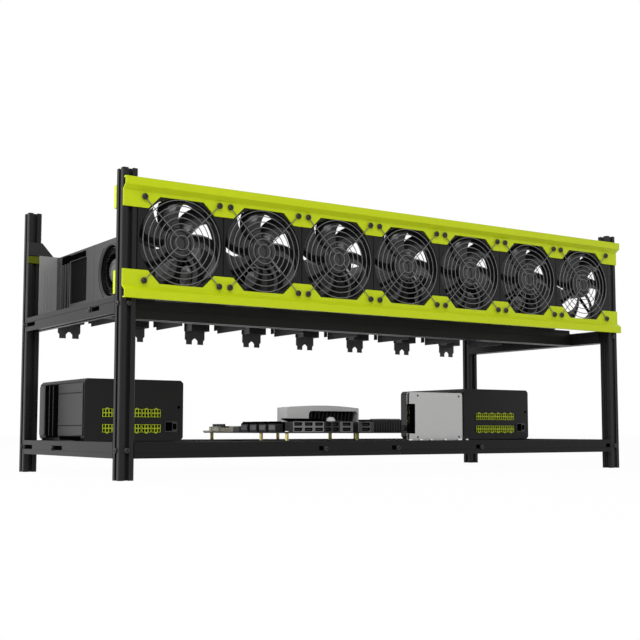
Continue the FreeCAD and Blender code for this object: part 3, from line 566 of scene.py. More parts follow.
def fanFrameMesh():
    half, bore = fanRow["size"] / 2, fanRow["bore"] / 2
    shape = Shape()
    square = roundedPoints(-half, -half, half, half, fanRow["corner"])
    screw = fanRow["screwPitch"] / 2
    holes = [circlePoints(fanRow["screwHole"], 12, (x, y)) for x in (-screw, screw) for y in (-screw, screw)]
    for height in (0, fanRow["depth"] - fanRow["flange"]):
        flange = [square, circlePoints(bore, 72)] + holes
        shape.plate(flange, fanRow["flange"], Matrix.Translation((0, 0, height)), 0.0004)
    wall = bore + fanRow["barrelWall"]
    near, far = 0.0006, fanRow["depth"] - 0.0006
    shape.ring([(bore, near), (wall, near), (wall, far), (bore, far)], 72)
    for side in range(4):
        turn = Matrix.Rotation(math.radians(90 * side), 4, "Z")
        corner = [(screw - 0.0052, screw - 0.0052), (screw + 0.0045, screw - 0.003),
                  (screw + 0.0045, screw + 0.0045), (screw - 0.003, screw + 0.0045)]
        shape.plate([corner], fanRow["depth"] - 0.001, turn @ Matrix.Translation((0, 0, 0.0005)), 0.0003)
        wide = fanRow["strutWide"] / 2
        strut = [(fanRow["hubRadius"] - 0.002, -wide), (bore + 0.0008, -wide * 0.8),
                 (bore + 0.0008, wide * 0.8), (fanRow["hubRadius"] - 0.002, wide)]
        diagonal = Matrix.Rotation(math.radians(90 * side + 45), 4, "Z")
        shape.plate([strut], fanRow["motorPlate"], diagonal, 0.0005)
    hub, plate = fanRow["hubRadius"], fanRow["motorPlate"]
    shape.turned([(hub - 0.003, 0.0), (hub - 0.002, -0.0004), (hub, 0.0004), (hub, plate)], facingUp, 48)
    return shape.asMesh("fanFrame", 35)


rotorValues = {"blades": 7, "rootChord": 0.0252, "tipChord": 0.0368, "rootPitch": -41, "tipPitch": -24,
               "growth": 1.5, "sweep": -22, "sweepGrowth": 1.6, "phase": 16.3, "rootThick": 0.0024,
               "tipThick": 0.0013, "camber": 0.07, "stations": 12, "sideSteps": 9, "chordReach": 0.0568,
               "hubEdge": 0.0022}


def bladeMesh(hub, reach, deepest):
    values = rotorValues
    shape = Shape()
    rings = []
    for s in range(values["stations"] + 1):
        share = s / values["stations"]
        radius = hub - 0.002 + (reach - hub + 0.002) * share
        chord = values["rootChord"] + (values["tipChord"] - values["rootChord"]) * share ** values["growth"]
        pitch = values["rootPitch"] + (values["tipPitch"] - values["rootPitch"]) * share ** values["growth"]
        pitch = math.radians(pitch)
        chord = min(chord * reach / values["chordReach"], deepest / abs(math.sin(pitch)))
        lead = math.radians(values["sweep"]) * share ** values["sweepGrowth"]
        thick = values["rootThick"] + (values["tipThick"] - values["rootThick"]) * share
        ring = []
        steps = values["sideSteps"]
        for side in (1, -1):
            for k in range(steps):
                along = (k / (steps - 1) - 0.5) * side
                bow = values["camber"] * chord * (1 - 4 * along * along)
                body = thick / 2 * math.sqrt(max(0.0, 1 - (2 * along) ** 4)) * side
                flat = along * chord * math.cos(pitch) - (bow + body) * math.sin(pitch)
                high = along * chord * math.sin(pitch) + (bow + body) * math.cos(pitch)
                angle = flat / radius + lead
                ring.append((radius * math.cos(angle), radius * math.sin(angle), high))
        rings.append(ring)
    shape.loft(rings)
    return shape.asMesh("blade", 60)


def rotorMesh(name, hub, reach, high):
    blade = bladeMesh(hub, reach, high * 0.9)
    blades = grownMesh(blade, trees["round"], {"Count": rotorValues["blades"],
                                               "Finish": finishes["bladePlastic"]})
    shape = Shape()
    shape.mesh(blades, Matrix.Translation((0, 0, high / 2)))
    edge = rotorValues["hubEdge"]
    profile = [(hub * 0.9, 0), (hub, 0.0006), (hub, high - edge), (hub - edge * 0.3, high - edge * 0.3),
               (hub - edge, high), (hub * 0.78, high), (hub * 0.76, high - 0.0005), (0.002, high - 0.0005)]
    shape.turned(profile, facingUp, 48)
    return shape.asMesh(name, 50)


def addFans():
    frameMesh = fanFrameMesh()
    frames = Shape()
    for middle in fanMiddles:
        back = Vector((middle.x, middle.y + fanRow["depth"], middle.z))
        frames.mesh(frameMesh, Matrix.Translation(back) @ facingFront)
    addShape("fanFrames", frames, 35, "fanPlastic", "fan_plastic",
             replaced=[f"fan_frame_{i + 1}" for i in range(fanRow["count"])])
    low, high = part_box("fan_rotor_1")
    deep = high.y - low.y
    rotor = rotorMesh("rotor", fanRow["hubRadius"], fanRow["bore"] / 2 - fanRow["tipGap"], deep)
    for i, middle in enumerate(fanMiddles):
        mesh = rotor.copy()
        turn = Matrix.Translation((middle.x, high.y, middle.z)) @ facingFront
        mesh.transform(turn @ Matrix.Rotation(math.radians(rotorValues["phase"]), 4, "Z"))
        addPiece(f"fanRotor{i + 1}", mesh, "bladePlastic", "blade_plastic", f"fan_spinner_{i + 1}",
                 replaced=[f"fan_rotor_{i + 1}"])


addFans()

guardValues = {"Rings": 7, "Outer Radius": 0.054, "Ring Step": 0.0075, "Wire": 0.0013, "Spokes": 4,
               "Corner Reach": fanRow["screwPitch"] / 2 * math.sqrt(2)}
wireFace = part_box("fan_guards")[1].y


def addGuards():
    mesh = wireMesh("guardPlaces", [(m.x, m.z, 0) for m in fanMiddles], guardValues,
                    frontAt(wireFace - guardValues["Wire"] / 2))
    addPiece("fanGuards", mesh, "guardWire", "black_steel", replaced=["fan_guards"])


addGuards()
print("fan row made")

# Screws: at the corners of the fans, at the joints of the bars and on the card brackets
screwValues = {"radius": 0.004, "high": 0.0024, "socket": 0.0014, "socketDeep": 0.0013}
jointScrews = {"size": 0.9, "postX": 0.433, "railX": (-0.142, -0.018, 0.14), "braceY": 0.0505,
               "shelfY": -0.0775, "endY": (-0.1685, 0.1775)}
tabScrews = {"size": 0.75, "y": 0.1728, "aside": 0.0102, "inCover": 0.011}
cards = {"count": 8, "first": -0.378, "pitch": 0.106}
cardMiddles = [cards["first"] + cards["pitch"] * i for i in range(cards["count"])]


def screwMesh():
    r, h, s = screwValues["radius"], screwValues["high"], screwValues["socket"]
    deep = screwValues["socketDeep"]
    shape = Shape()
    count = 24
    profile = [(r * 0.96, 0), (r, h * 0.12), (r, h * 0.4), (r * 0.9, h * 0.72), (r * 0.7, h * 0.93),
               (s * 1.3, h)]
    rings = [[(q * math.cos(math.tau * i / count), q * math.sin(math.tau * i / count), z)
              for i in range(count)] for q, z in profile]
    for z in (h, h - deep):
        hexagon = []
        for i in range(count):
            a = math.tau * i / count
            nearest = (a + math.pi / 6) % (math.pi / 3) - math.pi / 6
            q = s * math.cos(math.pi / 6) / math.cos(nearest)
            hexagon.append((q * math.cos(a), q * math.sin(a), z))
        rings.append(hexagon)
    shape.loft(rings)
    return shape.asMesh("screw", 40)


def addScrews():
    screw = screwMesh()
    front, left, up, right, back = (0, -1, 0), (-1, 0, 0), (0, 0, 1), (1, 0, 0), (0, 1, 0)
    reach = fanRow["screwPitch"] / 2
    face = wireFace - guardValues["Wire"] * 2
    points = [((m.x + x, face, m.z + z), front, 1.0) for m in fanMiddles for x in (-reach, reach)
              for z in (-reach, reach)]
    addCopies("fanScrews", screw, points, "screwSteel", "black_steel")
    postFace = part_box("post_front_left")[0]
    low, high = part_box("tray_rail_front")
    trayZ = (low.z + high.z) / 2
    shelfLow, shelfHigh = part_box("shelf_rail_left")
    shelfZ = (shelfLow.z + shelfHigh.z) / 2
    v, backFace, points = jointScrews, cadBounds[1].y, []
    for x in (-v["postX"], v["postX"]):
        for z in (trayZ, shelfZ):
            points += [((x, postFace.y, z), front, v["size"]), ((x, backFace, z), back, v["size"])]
    for x in v["railX"]:
        points += [((x, low.y, trayZ), front, v["size"]), ((x, backFace, trayZ), back, v["size"])]
    sides = [(v["braceY"], trayZ), (v["shelfY"], shelfZ)]
    sides += [(y, z) for y in v["endY"] for z in (trayZ, shelfZ)]
    for x, aim in ((cadBounds[0].x, left), (cadBounds[1].x, right)):
        points += [((x, y, z), aim, v["size"]) for y, z in sides]
    addCopies("frameScrews", screw, points, "screwSteel", "black_steel")
    v = tabScrews
    tabLow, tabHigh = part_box("card_brackets")
    across = [x + side * v["aside"] for x in cardMiddles for side in (-1, 1)] + [tabLow.x + v["inCover"]]
    points = [((x, v["y"], tabHigh.z), up, v["size"]) for x in across]
    addCopies("cardScrews", screw, points, "screwSteel", "black_steel")


addScrews()
print("screws made")

# Cards: cover panels, blower trim, window fins, bars and vents on the west face
cardValues = {"west": -0.020, "east": 0.0176, "panelThick": 0.0012, "edge": 0.0015, "blowerRadius": 0.0345,
              "ringWide": 0.0022, "ringProud": 0.0008, "finThick": 0.0006, "finStep": 0.0026, "fins": 24,
              "ventStep": 0.0034, "ventRadius": 0.0011}
blowerValues = {"vanes": 31, "hub": 0.0165, "outer": 0.0322, "vaneRoot": 0.0235, "curl": 34, "lift": 0.0004,
                "cardTurn": 11}
shroudLow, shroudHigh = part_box("card_shrouds")
shroudBottom, shroudTop = 0.232, shroudHigh.z
blowerLow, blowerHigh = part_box("card_blower_1")
blowerY, blowerZ = (blowerLow.y + blowerHigh.y) / 2, (blowerLow.z + blowerHigh.z) / 2
windowBox = {"front": 0.0465, "back": 0.1095, "bottom": 0.2445, "top": 0.3065, "deep": 0.009}


def yRange(front, back):
    return -back, -front


def cardPanelMesh():
    shape = Shape()
    v, edge = cardValues, cardValues["edge"]
    thick, middle = v["panelThick"], (-blowerY, blowerZ)
    bottom, top = shroudBottom + edge, shroudTop - edge
    west, east = yRange(shroudLow.y + edge, windowBox["front"] - 0.0285)
    hole = circlePoints(v["blowerRadius"], 64, middle)
    shape.plate([roundedPoints(west, bottom, east, top, 0.003), hole], thick, facingWest, 0.0004)
    west, east = yRange(windowBox["front"] - 0.0278, windowBox["back"] + 0.003)
    window = roundedPoints(-windowBox["back"], windowBox["bottom"], -windowBox["front"], windowBox["top"],
                           0.002)
    shape.plate([roundedPoints(west, bottom, east, top, 0.0015), window], thick, facingWest, 0.0004)
    west, east = yRange(0.1435, shroudHigh.y - 0.001)
    vents = [circlePoints(v["ventRadius"], 6, (west + 0.004 + v["ventStep"] * i + (j % 2) * v["ventStep"] / 2,
                                               bottom + 0.006 + j * v["ventStep"] * 0.87))
             for i in range(4) for j in range(25)]
    shape.plate([roundedPoints(west, bottom, east, top, 0.0015)] + vents, thick, facingWest)
    for inner in (v["blowerRadius"] + 0.0012, v["blowerRadius"] + 0.0058):
        proud = Matrix.Translation((-thick, 0, 0)) @ facingWest
        ring = [circlePoints(radius, 64, middle) for radius in (inner + v["ringWide"], inner)]
        if inner > v["blowerRadius"] + 0.002:
            ends = math.radians(125), math.radians(235)
            outer, inside = (circlePoints(radius, 40, middle, *ends) for radius in (inner + 0.0014, inner))
            ring = [outer + inside[::-1]]
        shape.plate(ring, v["ringProud"], proud, 0.0002)
    return shape.asMesh("cardPanel", 35)


def cardShadeAndBandMesh():
    shape = Shape()
    bars = yRange(windowBox["back"] + 0.0036, 0.1428)
    bottom, top = shroudBottom + 0.003, shroudTop
    # Painted shade behind the bars, where the inside of the shroud shows
    shape.plate([rectangle(bars[0], bottom, bars[1], top - 0.002)], 0.0003, facingWest)
    # A black band along the top edge
    shape.plate([rectangle(-0.1425, top - 0.012, -0.049, top - 0.0035)], 0.0016, facingWest, 0.0003)
    # Painted shade behind the vent holes
    shape.plate([rectangle(-0.163, bottom, -0.144, top - 0.003)], 0.0003, facingWest)
    # Painted shade on the wall of the blower opening
    shape.plate([circlePoints(radius, 64, (-blowerY, blowerZ)) for radius in (0.0348, 0.0327)], 0.0006,
                facingWest)
    return shape.asMesh("cardDark", 35)


def cardBarMesh():
    shape = Shape()
    for y, wide in ((0.1180, 0.0024), (0.1290, 0.0030), (0.1385, 0.0014)):
        rings = []
        for k in range(9):
            share = k / 8
            bow = 0.0012 * math.sin(math.pi * share)
            z = shroudBottom + 0.004 + (shroudTop - shroudBottom - 0.018) * share
            rings.append([(-0.0003, y - wide / 2 - bow, z), (-0.0022, y - wide / 2 + 0.0005 - bow, z),
                          (-0.0022, y + wide / 2 - 0.0005 - bow, z), (-0.0003, y + wide / 2 - bow, z)])
        shape.loft(rings)
    return shape.asMesh("cardBars", 50)


def finMesh():
    shape = Shape()
    depth = windowBox["deep"] - 0.001
    shape.box((0.001, 0, windowBox["bottom"]), (0.001 + depth, cardValues["finThick"], windowBox["top"]))
    return shape.asMesh("fin")


def onCards(mesh):
    shape = Shape()
    for x in cardMiddles:
        shape.mesh(mesh, Matrix.Translation((x + cardValues["west"], 0, 0)))
    return shape


def blowerMesh():
    shape = Shape()
    v, high = blowerValues, blowerHigh.x - blowerLow.x
    hub, outer, root = v["hub"], v["outer"], v["vaneRoot"]
    vane = Shape()
    rings = []
    for k in range(7):
        share = k / 6
        radius = root + (outer - root) * share
        angle = math.radians(v["curl"]) * share ** 1.2
        half = 0.0004 / radius
        rings.append([(radius * math.cos(angle + s), radius * math.sin(angle + s), z)
                      for s, z in ((-half, 0.002), (half, 0.002), (half, high - 0.001),
                                   (-half, high - 0.001))])
    vane.loft(rings)
    vanes = grownMesh(vane.asMesh("vane", 40), trees["round"],
                      {"Count": v["vanes"], "Finish": finishes["bladePlastic"]})
    shape.mesh(vanes)
    shape.turned([(0.004, 0), (outer, 0), (outer, 0.0018), (0.004, 0.0018)], facingUp, 48)
    high -= v["lift"]
    rim, wall = outer - 0.0012, outer + 0.0004
    shape.ring([(rim, high - 0.002), (wall, high - 0.002), (wall, high), (rim, high)], 48)
    cap = Shape()
    cap.turned([(hub, 0.0018), (hub, high - 0.003), (hub - 0.0025, high - 0.0008),
                (hub * 0.62, high - 0.0002), (hub * 0.58, high - 0.001), (0.001, high - 0.001)], facingUp, 40)
    return shape.asMesh("blower", 40), cap.asMesh("blowerCap", 40)


bracketBack, bracketThick = 0.166, 0.0012
bracketPorts = ((0.2285, 0.017), (0.2495, 0.017), (0.2705, 0.0155), (0.2885, 0.017))
bracketVents = {"count": 14, "first": 0.230, "step": 0.0057, "high": 0.003}


def bracketMesh():
    half, fork, legOuter, legInner, notch = 0.019, 0.0177, 0.0153, 0.0051, 0.0015
    shoulder, legTop, tip, top = 0.220, 0.205, 0.199, shroudTop
    right = [(notch, legTop + legInner - notch), (legInner, legTop), (legInner, tip), (legOuter, tip),
             (legOuter, legTop), (fork, legTop + 0.0024), (fork, shoulder), (half, shoulder), (half, top)]
    outline = right + [(-u, v) for u, v in right[::-1]]
    holes = [roundedPoints(0.0052, z, 0.0112, z + high, 0.001, 2) for z, high in bracketPorts]
    for i in range(bracketVents["count"]):
        z = bracketVents["first"] + i * bracketVents["step"]
        holes.append(roundedPoints(-0.0155, z, -0.0035, z + bracketVents["high"], 0.0014, 3))
    shape = Shape()
    shape.plate([outline] + holes, bracketThick, frontAt(bracketBack), 0.0001)
    low = bracketBack - bracketThick
    tab = [(-half, low), (half, low), (half, low + 0.014), (0.0132, low + 0.014), (0.0132, low + 0.0106),
           (0.0072, low + 0.0106), (0.0072, low + 0.014), (-half, low + 0.014)]
    shape.plate([tab], bracketThick, Matrix.Translation((0, 0, top)), 0.0001)
    for z, high in bracketPorts:
        shell = [roundedPoints(0.0053, z + 0.0001, 0.0111, z + high - 0.0001, 0.001, 2),
                 roundedPoints(0.0058, z + 0.0006, 0.0106, z + high - 0.0006, 0.0008, 2)]
        shape.plate(shell, 0.011, frontAt(bracketBack + 0.0004))
    return shape.asMesh("bracket", 35)


def addCards():
    slotName = "shroud_plastic"
    panels = onCards(cardPanelMesh())
    addShape("cardPanels", panels, 35, "shroudPanel", slotName)
    # Dark plates on each card: painted shade behind the bars, the vents and the blower opening, and a black
    # top band
    addShape("cardGaps", onCards(cardShadeAndBandMesh()), 35, "blackAndPaintedShade", slotName)
    addShape("cardBars", onCards(cardBarMesh()), 50, "shroudPanel", slotName)
    rowInputs = {"Count": cardValues["fins"], "Step": (0, cardValues["finStep"], 0),
                 "Finish": finishes["sinkMetal"]}
    fins = grownMesh(finMesh(), trees["row"], rowInputs)
    fins.transform(Matrix.Translation((0, windowBox["front"] + 0.0006, 0)))
    # The fins take the darkened metal, which paints the shade inside the window
    addShape("cardFins", onCards(fins), 0, "finMetalPaintedShade", "sink_metal")
    wheel, cap = blowerMesh()
    for i in range(cards["count"]):
        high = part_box(f"card_blower_{i + 1}")[1].x
        turn = Matrix.Translation((high - blowerValues["lift"], blowerY, blowerZ)) @ facingWest
        mesh, capMesh = wheel.copy(), cap.copy()
        mesh.transform(turn @ Matrix.Rotation(math.radians(blowerValues["cardTurn"] * i), 4, "Z"))
        capMesh.transform(turn)
        addPiece(f"cardBlower{i + 1}", mesh, "bladePlastic", "blade_plastic", f"blower_{i + 1}",
                 replaced=[f"card_blower_{i + 1}"])
        addPiece(f"cardBlowerCap{i + 1}", capMesh, "wheelPlastic", "blade_plastic", f"blower_{i + 1}")
    bracket = bracketMesh()
    shape = Shape()
    for x in cardMiddles:
        shape.mesh(bracket, Matrix.Translation((x, 0, 0)))
    addShape("cardBrackets", shape, 35, "bracketSteel", "bracket_steel",
             replaced=["card_brackets"])
    shape = Shape()
    west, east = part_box("post_rear_left")[1].x - 0.0032, cardMiddles[0] + cardValues["west"]
    cover = rectangle(west, 0.2268, east, shroudTop)
    shape.plate([cover], bracketThick, frontAt(bracketBack), 0.0001)
    tab = [(west, 0.1648), (east, 0.1648), (east, 0.1788), (east - 0.0085, 0.1788), (east - 0.0085, 0.1756),
           (east - 0.0145, 0.1756), (east - 0.0145, 0.1788), (west, 0.1788)]
    for i in range(3):
        rib = rectangle(west + 0.006 + 0.0045 * i, 0.236, west + 0.0075 + 0.0045 * i, 0.303)
        shape.plate([rib], 0.0004, frontAt(bracketBack - bracketThick))
    shape.plate([tab], bracketThick, Matrix.Translation((0, 0, shroudTop)), 0.0001)
    addShape("slotCover", shape, 35, "coverSteel", "bracket_steel")


def addCardBoards():
    rng = random.Random(4)
    chips, metal, steel = Shape(), Shape(), []
    boardEast = cardValues["east"]
    for x in cardMiddles:
        face = x + boardEast
        chips.box((face, blowerY + 0.052, 0.262), (face + 0.0012, blowerY + 0.085, 0.295))
        for j in range(5):
            y = 0.03 + 0.021 * j
            chips.box((face, y, 0.302), (face + 0.001, y + 0.012, 0.3095))
        for j in range(14):
            y, z = rng.uniform(-0.085, 0.15), rng.uniform(0.238, 0.31)
            long, high = rng.choice(((0.003, 0.0016), (0.0016, 0.003), (0.005, 0.004)))
            chips.box((face, y, z), (face + 0.0009, y + long, z + high))
            y, z = rng.uniform(-0.085, 0.15), rng.uniform(0.238, 0.31)
            metal.box((face, y, z), (face + 0.0007, y + high, z + long * 0.6))
        for y0, y1, z0, z1 in ((0.012, 0.058, 0.252, 0.2535), (0.012, 0.058, 0.3005, 0.302),
                               (0.012, 0.0135, 0.2535, 0.3005), (0.0565, 0.058, 0.2535, 0.3005)):
            metal.box((face, y0, z0), (face + 0.0016, y1, z1))
        for y, z in ((-0.09, 0.24), (-0.09, 0.309), (0.155, 0.24), (0.155, 0.309), (0.005, 0.252),
                     (0.005, 0.300), (0.055, 0.252), (0.055, 0.300)):
            steel.append(((face, y, z), (1, 0, 0), 0.7))
    addShape("cardChips", chips, 0, "slotPlastic", "circuit_board", bevel=0.0002)
    addShape("cardBackMetal", metal, 0, "sinkMetal", "sink_metal", bevel=0.0001)
    addCopies("cardBackScrews", screwMesh(), steel, "screwSteel", "black_steel")


addCards()
addCardBoards()
print("cards made")

# Power supplies: sockets, side panels, seam, top grille, rear vent and inlet
supplyValues = {"socketWide": 0.0138, "socketHigh": 0.0114, "socketPitch": 0.0148, "socketWest": 0.0262,
                "socketDeep": 0.0016, "holeWide": 0.0033, "holeHigh": 0.0042, "upper": 0.033,
                "lower": 0.0115, "sockets": 6,
                "inletWest": 0.121, "inletBottom": 0.013, "hexRadius": 0.0027}
supplies = {word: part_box("power_supply_" + word) for word in ("left", "right")}
trayTop = supplies["left"][0].z


def socketMesh(bumpUp):
    v = supplyValues
    wide, high, across, up = v["socketWide"], v["socketHigh"], v["holeWide"] / 2, v["holeHigh"] / 2
    shape = Shape()
    outline = roundedPoints(0, 0, wide, high, 0.0006, 2)
    holes = []
    for column in range(3):
        for row in range(2):
            u, w = wide / 3 * (column + 0.5), high / 2 * (row + 0.5)
            holes.append(roundedPoints(u - across, w - up, u + across, w + up, 0.0005, 1))
    shape.plate([outline] + holes, v["socketDeep"], facingFront, 0.0002)
    middle, edge, out = (wide / 2, high, 0.0014) if bumpUp else (wide / 2, 0.0, -0.0014)
    bump = [(middle - 0.0026, edge), (middle + 0.0026, edge), (middle + 0.0014, edge + out),
            (middle - 0.0014, edge + out)]
    shape.plate([bump], v["socketDeep"] * 0.8, facingFront)
    return shape.asMesh("socket", 35)


def addSockets():
    v = supplyValues
    sockets, socketShade, rims = Shape(), Shape(), Shape()
    for low, high in supplies.values():
        for z, up in ((trayTop + v["upper"], True), (trayTop + v["lower"], False)):
            mesh = socketMesh(up)
            for i in range(v["sockets"]):
                x = low.x + v["socketWest"] + v["socketPitch"] * i
                sockets.mesh(mesh, Matrix.Translation((x, low.y, z)))
                # Painted shade in the socket holes
                socketShade.box((x + 0.0005, low.y - 0.0001, z + 0.0005),
                            (x + v["socketWide"] - 0.0005, low.y + 0.0002, z + v["socketHigh"] - 0.0005))
        x, z = low.x + v["inletWest"], trayTop + v["inletBottom"]
        at = frontAt(low.y)
        # Painted shade behind the inlet, and in the small hole beside it
        socketShade.plate([roundedPoints(x, z, x + 0.019, z + 0.014, 0.0015)], 0.0006, at)
        rims.plate([roundedPoints(x - 0.0006, z - 0.0006, x + 0.0196, z + 0.0146, 0.0018),
                    roundedPoints(x + 0.0008, z + 0.0008, x + 0.0115, z + 0.0132, 0.001),
                    roundedPoints(x + 0.0125, z + 0.003, x + 0.0182, z + 0.011, 0.001)], 0.0014, at, 0.0003)
        socketShade.plate([circlePoints(0.0022, 20, (high.x - 0.007, trayTop + 0.0475))], 0.0003,
                      at)
    addShape("supplySockets", sockets, 35, "limePlastic", "lime_plastic",
             replaced=["power_sockets"])
    addShape("supplyInletRims", rims, 35, "bladePlastic", "slot_plastic")
    addShape("supplySocketWells", socketShade, 0, "blackAndPaintedShade", "black_steel")


def addSupplyShells():
    panels, gaps, ribs = Shape(), Shape(), Shape()
    for low, high in supplies.values():
        for x, turn in ((low.x, facingWest), (high.x, facingEast)):
            sign = -1 if turn is facingWest else 1
            at = Matrix.Translation((x, 0, 0)) @ turn
            for bottom, top in ((0.007, 0.0205), (0.0215, 0.066), (0.067, 0.0795)):
                u = sorted((sign * (low.y + 0.0035), sign * (low.y + 0.0965)))
                panels.plate([roundedPoints(u[0], trayTop + bottom, u[1], trayTop + top, 0.0012)], 0.0014, at,
                             0.0004)
            u = sorted((sign * (high.y - 0.0235), sign * (high.y - 0.001)))
            if x < 0.4:
                panels.plate([roundedPoints(u[0], trayTop + 0.007, u[1], trayTop + 0.0795, 0.0015)], 0.0014,
                             at, 0.0004)
            # Painted shade in the recess between the side panels and in the strip under them
            for front, back, bottom, top in ((0.0973, 0.1515, 0.004, 0.0805), (0.012, 0.094, 0.0006, 0.0062)):
                u = sorted((sign * (low.y + front), sign * (low.y + back)))
                gaps.plate([[(u[0] + 0.002, trayTop + bottom), (u[1] - 0.002, trayTop + bottom),
                             (u[1], trayTop + top), (u[0], trayTop + top)]], 0.0003, at)
            for back in (0.118, 0.134):
                u = sorted((sign * (low.y + back), sign * (low.y + back + 0.003)))
                rib = roundedPoints(u[0], trayTop + 0.006, u[1], trayTop + 0.079, 0.001)
                ribs.plate([rib], 0.001, at, 0.0003)
    addShape("supplyPanels", panels, 35, "blackSteel", "black_steel")
    addShape("supplyRibs", ribs, 35, "supplySteel", "black_steel")
    addShape("supplySideGaps", gaps, 0, "blackAndPaintedShade", "black_steel")


grilleValues = {"Rings": 8, "Outer Radius": 0.062, "Ring Step": 0.0074, "Wire": 0.0014, "Spokes": 4,
                "Corner Reach": 0.0672}
supplyFan = {"grilleDrop": 0.0022, "hub": 0.02, "reach": 0.0626}


def addSupplyGrilles():
    fans = {word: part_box("power_supply_fan_" + word) for word in supplies}
    middles = {word: ((low.x + high.x) / 2, (low.y + high.y) / 2) for word, (low, high) in fans.items()}
    places = [(*middles[word], supplies[word][1].z) for word in supplies]
    mesh = wireMesh("grillePlaces", places, grilleValues,
                    Matrix.Translation((0, 0, -supplyFan["grilleDrop"])))
    addPiece("supplyGrilles", mesh, "guardWire", "black_steel")
    low, high = fans["left"]
    rotor = rotorMesh("supplyRotor", supplyFan["hub"], supplyFan["reach"], high.z - low.z)
    for word, (low, high) in fans.items():
        mesh = rotor.copy()
        mesh.transform(Matrix.Translation((*middles[word], low.z)))
        addPiece(f"supplyRotor{word.capitalize()}", mesh, "bladePlastic", "blade_plastic",
                 f"supply_spinner_{word}", replaced=["power_supply_fan_" + word])


# On the back, the inlet with its rim and the switch below it: outlines, thickness and bevel of each plate
inletPlates = ((((0, 0.044, 0.029, 0.068, 0.004), (0.003, 0.047, 0.026, 0.065, 0.003)), 0.003, 0.0005),
               (((0.006, 0.050, 0.023, 0.062, 0.002),), 0.0028, 0.0003),
               (((0.006, 0.014, 0.024, 0.036, 0.0015),), 0.0018, 0.0005),
               (((0.009, 0.017, 0.021, 0.033, 0.001),), 0.0034, 0.0006))
inletPins = ((0.011, 0.058), (0.0145, 0.054), (0.018, 0.058))


def addSupplyBacks():
    vents, inlets, metal = Shape(), Shape(), Shape()
    back = cadBounds[1].y
    radius = supplyValues["hexRadius"]
    for low, high in supplies.values():
        at = Matrix.Translation((0, back, 0)) @ facingBack
        west, east, bottom, top = -high.x + 0.008, -low.x - 0.042, trayTop + 0.008, trayTop + 0.078
        holes = []
        across, down = radius * 1.95, radius * 1.69
        rows = int((top - bottom - 0.006) / down)
        columns = int((east - west - 0.008) / across)
        for j in range(rows):
            for i in range(columns):
                u = west + 0.005 + across * (i + (j % 2) / 2)
                v = bottom + 0.004 + down * j
                holes.append(circlePoints(radius * 0.82, 6, (u, v), math.pi / 6, math.pi / 6 + math.tau))
        vents.plate([roundedPoints(west, bottom, east, top, 0.002)] + holes, 0.0009, at)
        inlets.plate([rectangle(west + 0.002, bottom + 0.002, east - 0.002, top - 0.002)], 0.0002, at)
        u, w = -low.x - 0.037, trayTop
        for outlines, thick, bevel in inletPlates:
            inlets.plate([roundedPoints(u + a, w + b, u + c, w + d, r) for a, b, c, d, r in outlines],
                         thick, at, bevel)
        for x, z in inletPins:
            pin = rectangle(u + x - 0.0006, w + z - 0.002, u + x + 0.0006, w + z + 0.002)
            metal.plate([pin], 0.0036, at)
    addShape("supplyVents", vents, 0, "supplySteel", "black_steel")
    addShape("supplyInlets", inlets, 35, "slotPlastic", "slot_plastic")
    addShape("supplyPins", metal, 0, "brightMetal", "port_metal")


addSockets()
addSupplyShells()
addSupplyGrilles()
addSupplyBacks()
print("power supplies made")

# Motherboard: port faces, sockets, chips, capacitors, cooler ribs and the parts along its edges
board = {"low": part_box("motherboard")[0], "high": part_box("motherboard")[1]}
boardTop = board["high"].z
portStacks = (("portMetal", -0.137, 0.054, 3), ("slotPlastic", -0.0825, 0.027, 2),
              ("greyPlastic", -0.055, 0.024, 1), ("portMetal", -0.022, 0.029, 1))
portHigh, portLong = 0.0154, 0.022
boardCounts = {"coolerRibs": 12, "slats": 7, "coolerBars": 5, "smallParts": 90, "edgeParts": 26,
               "paleBlocks": 9}
# Low parts of the board, from its west or the middle and from its front: x, y, long, deep, high
boardChips = ((0.02, 0.10, 0.032, 0.032, 0.0035), (0.048, 0.19, 0.012, 0.012, 0.0018),
              (0.02, 0.06, 0.009, 0.009, 0.0015), (0.045, 0.07, 0.008, 0.010, 0.0015),
              (-0.134, 0.062, 0.014, 0.010, 0.0015))
edgeSockets = ((0.0025, 0.205, 0.010, 0.007, 0.007), (0.0025, 0.1985, 0.008, 0.005, 0.006),
               (0.0145, 0.196, 0.006, 0.012, 0.005), (0.002, 0.2225, 0.004, 0.006, 0.008))


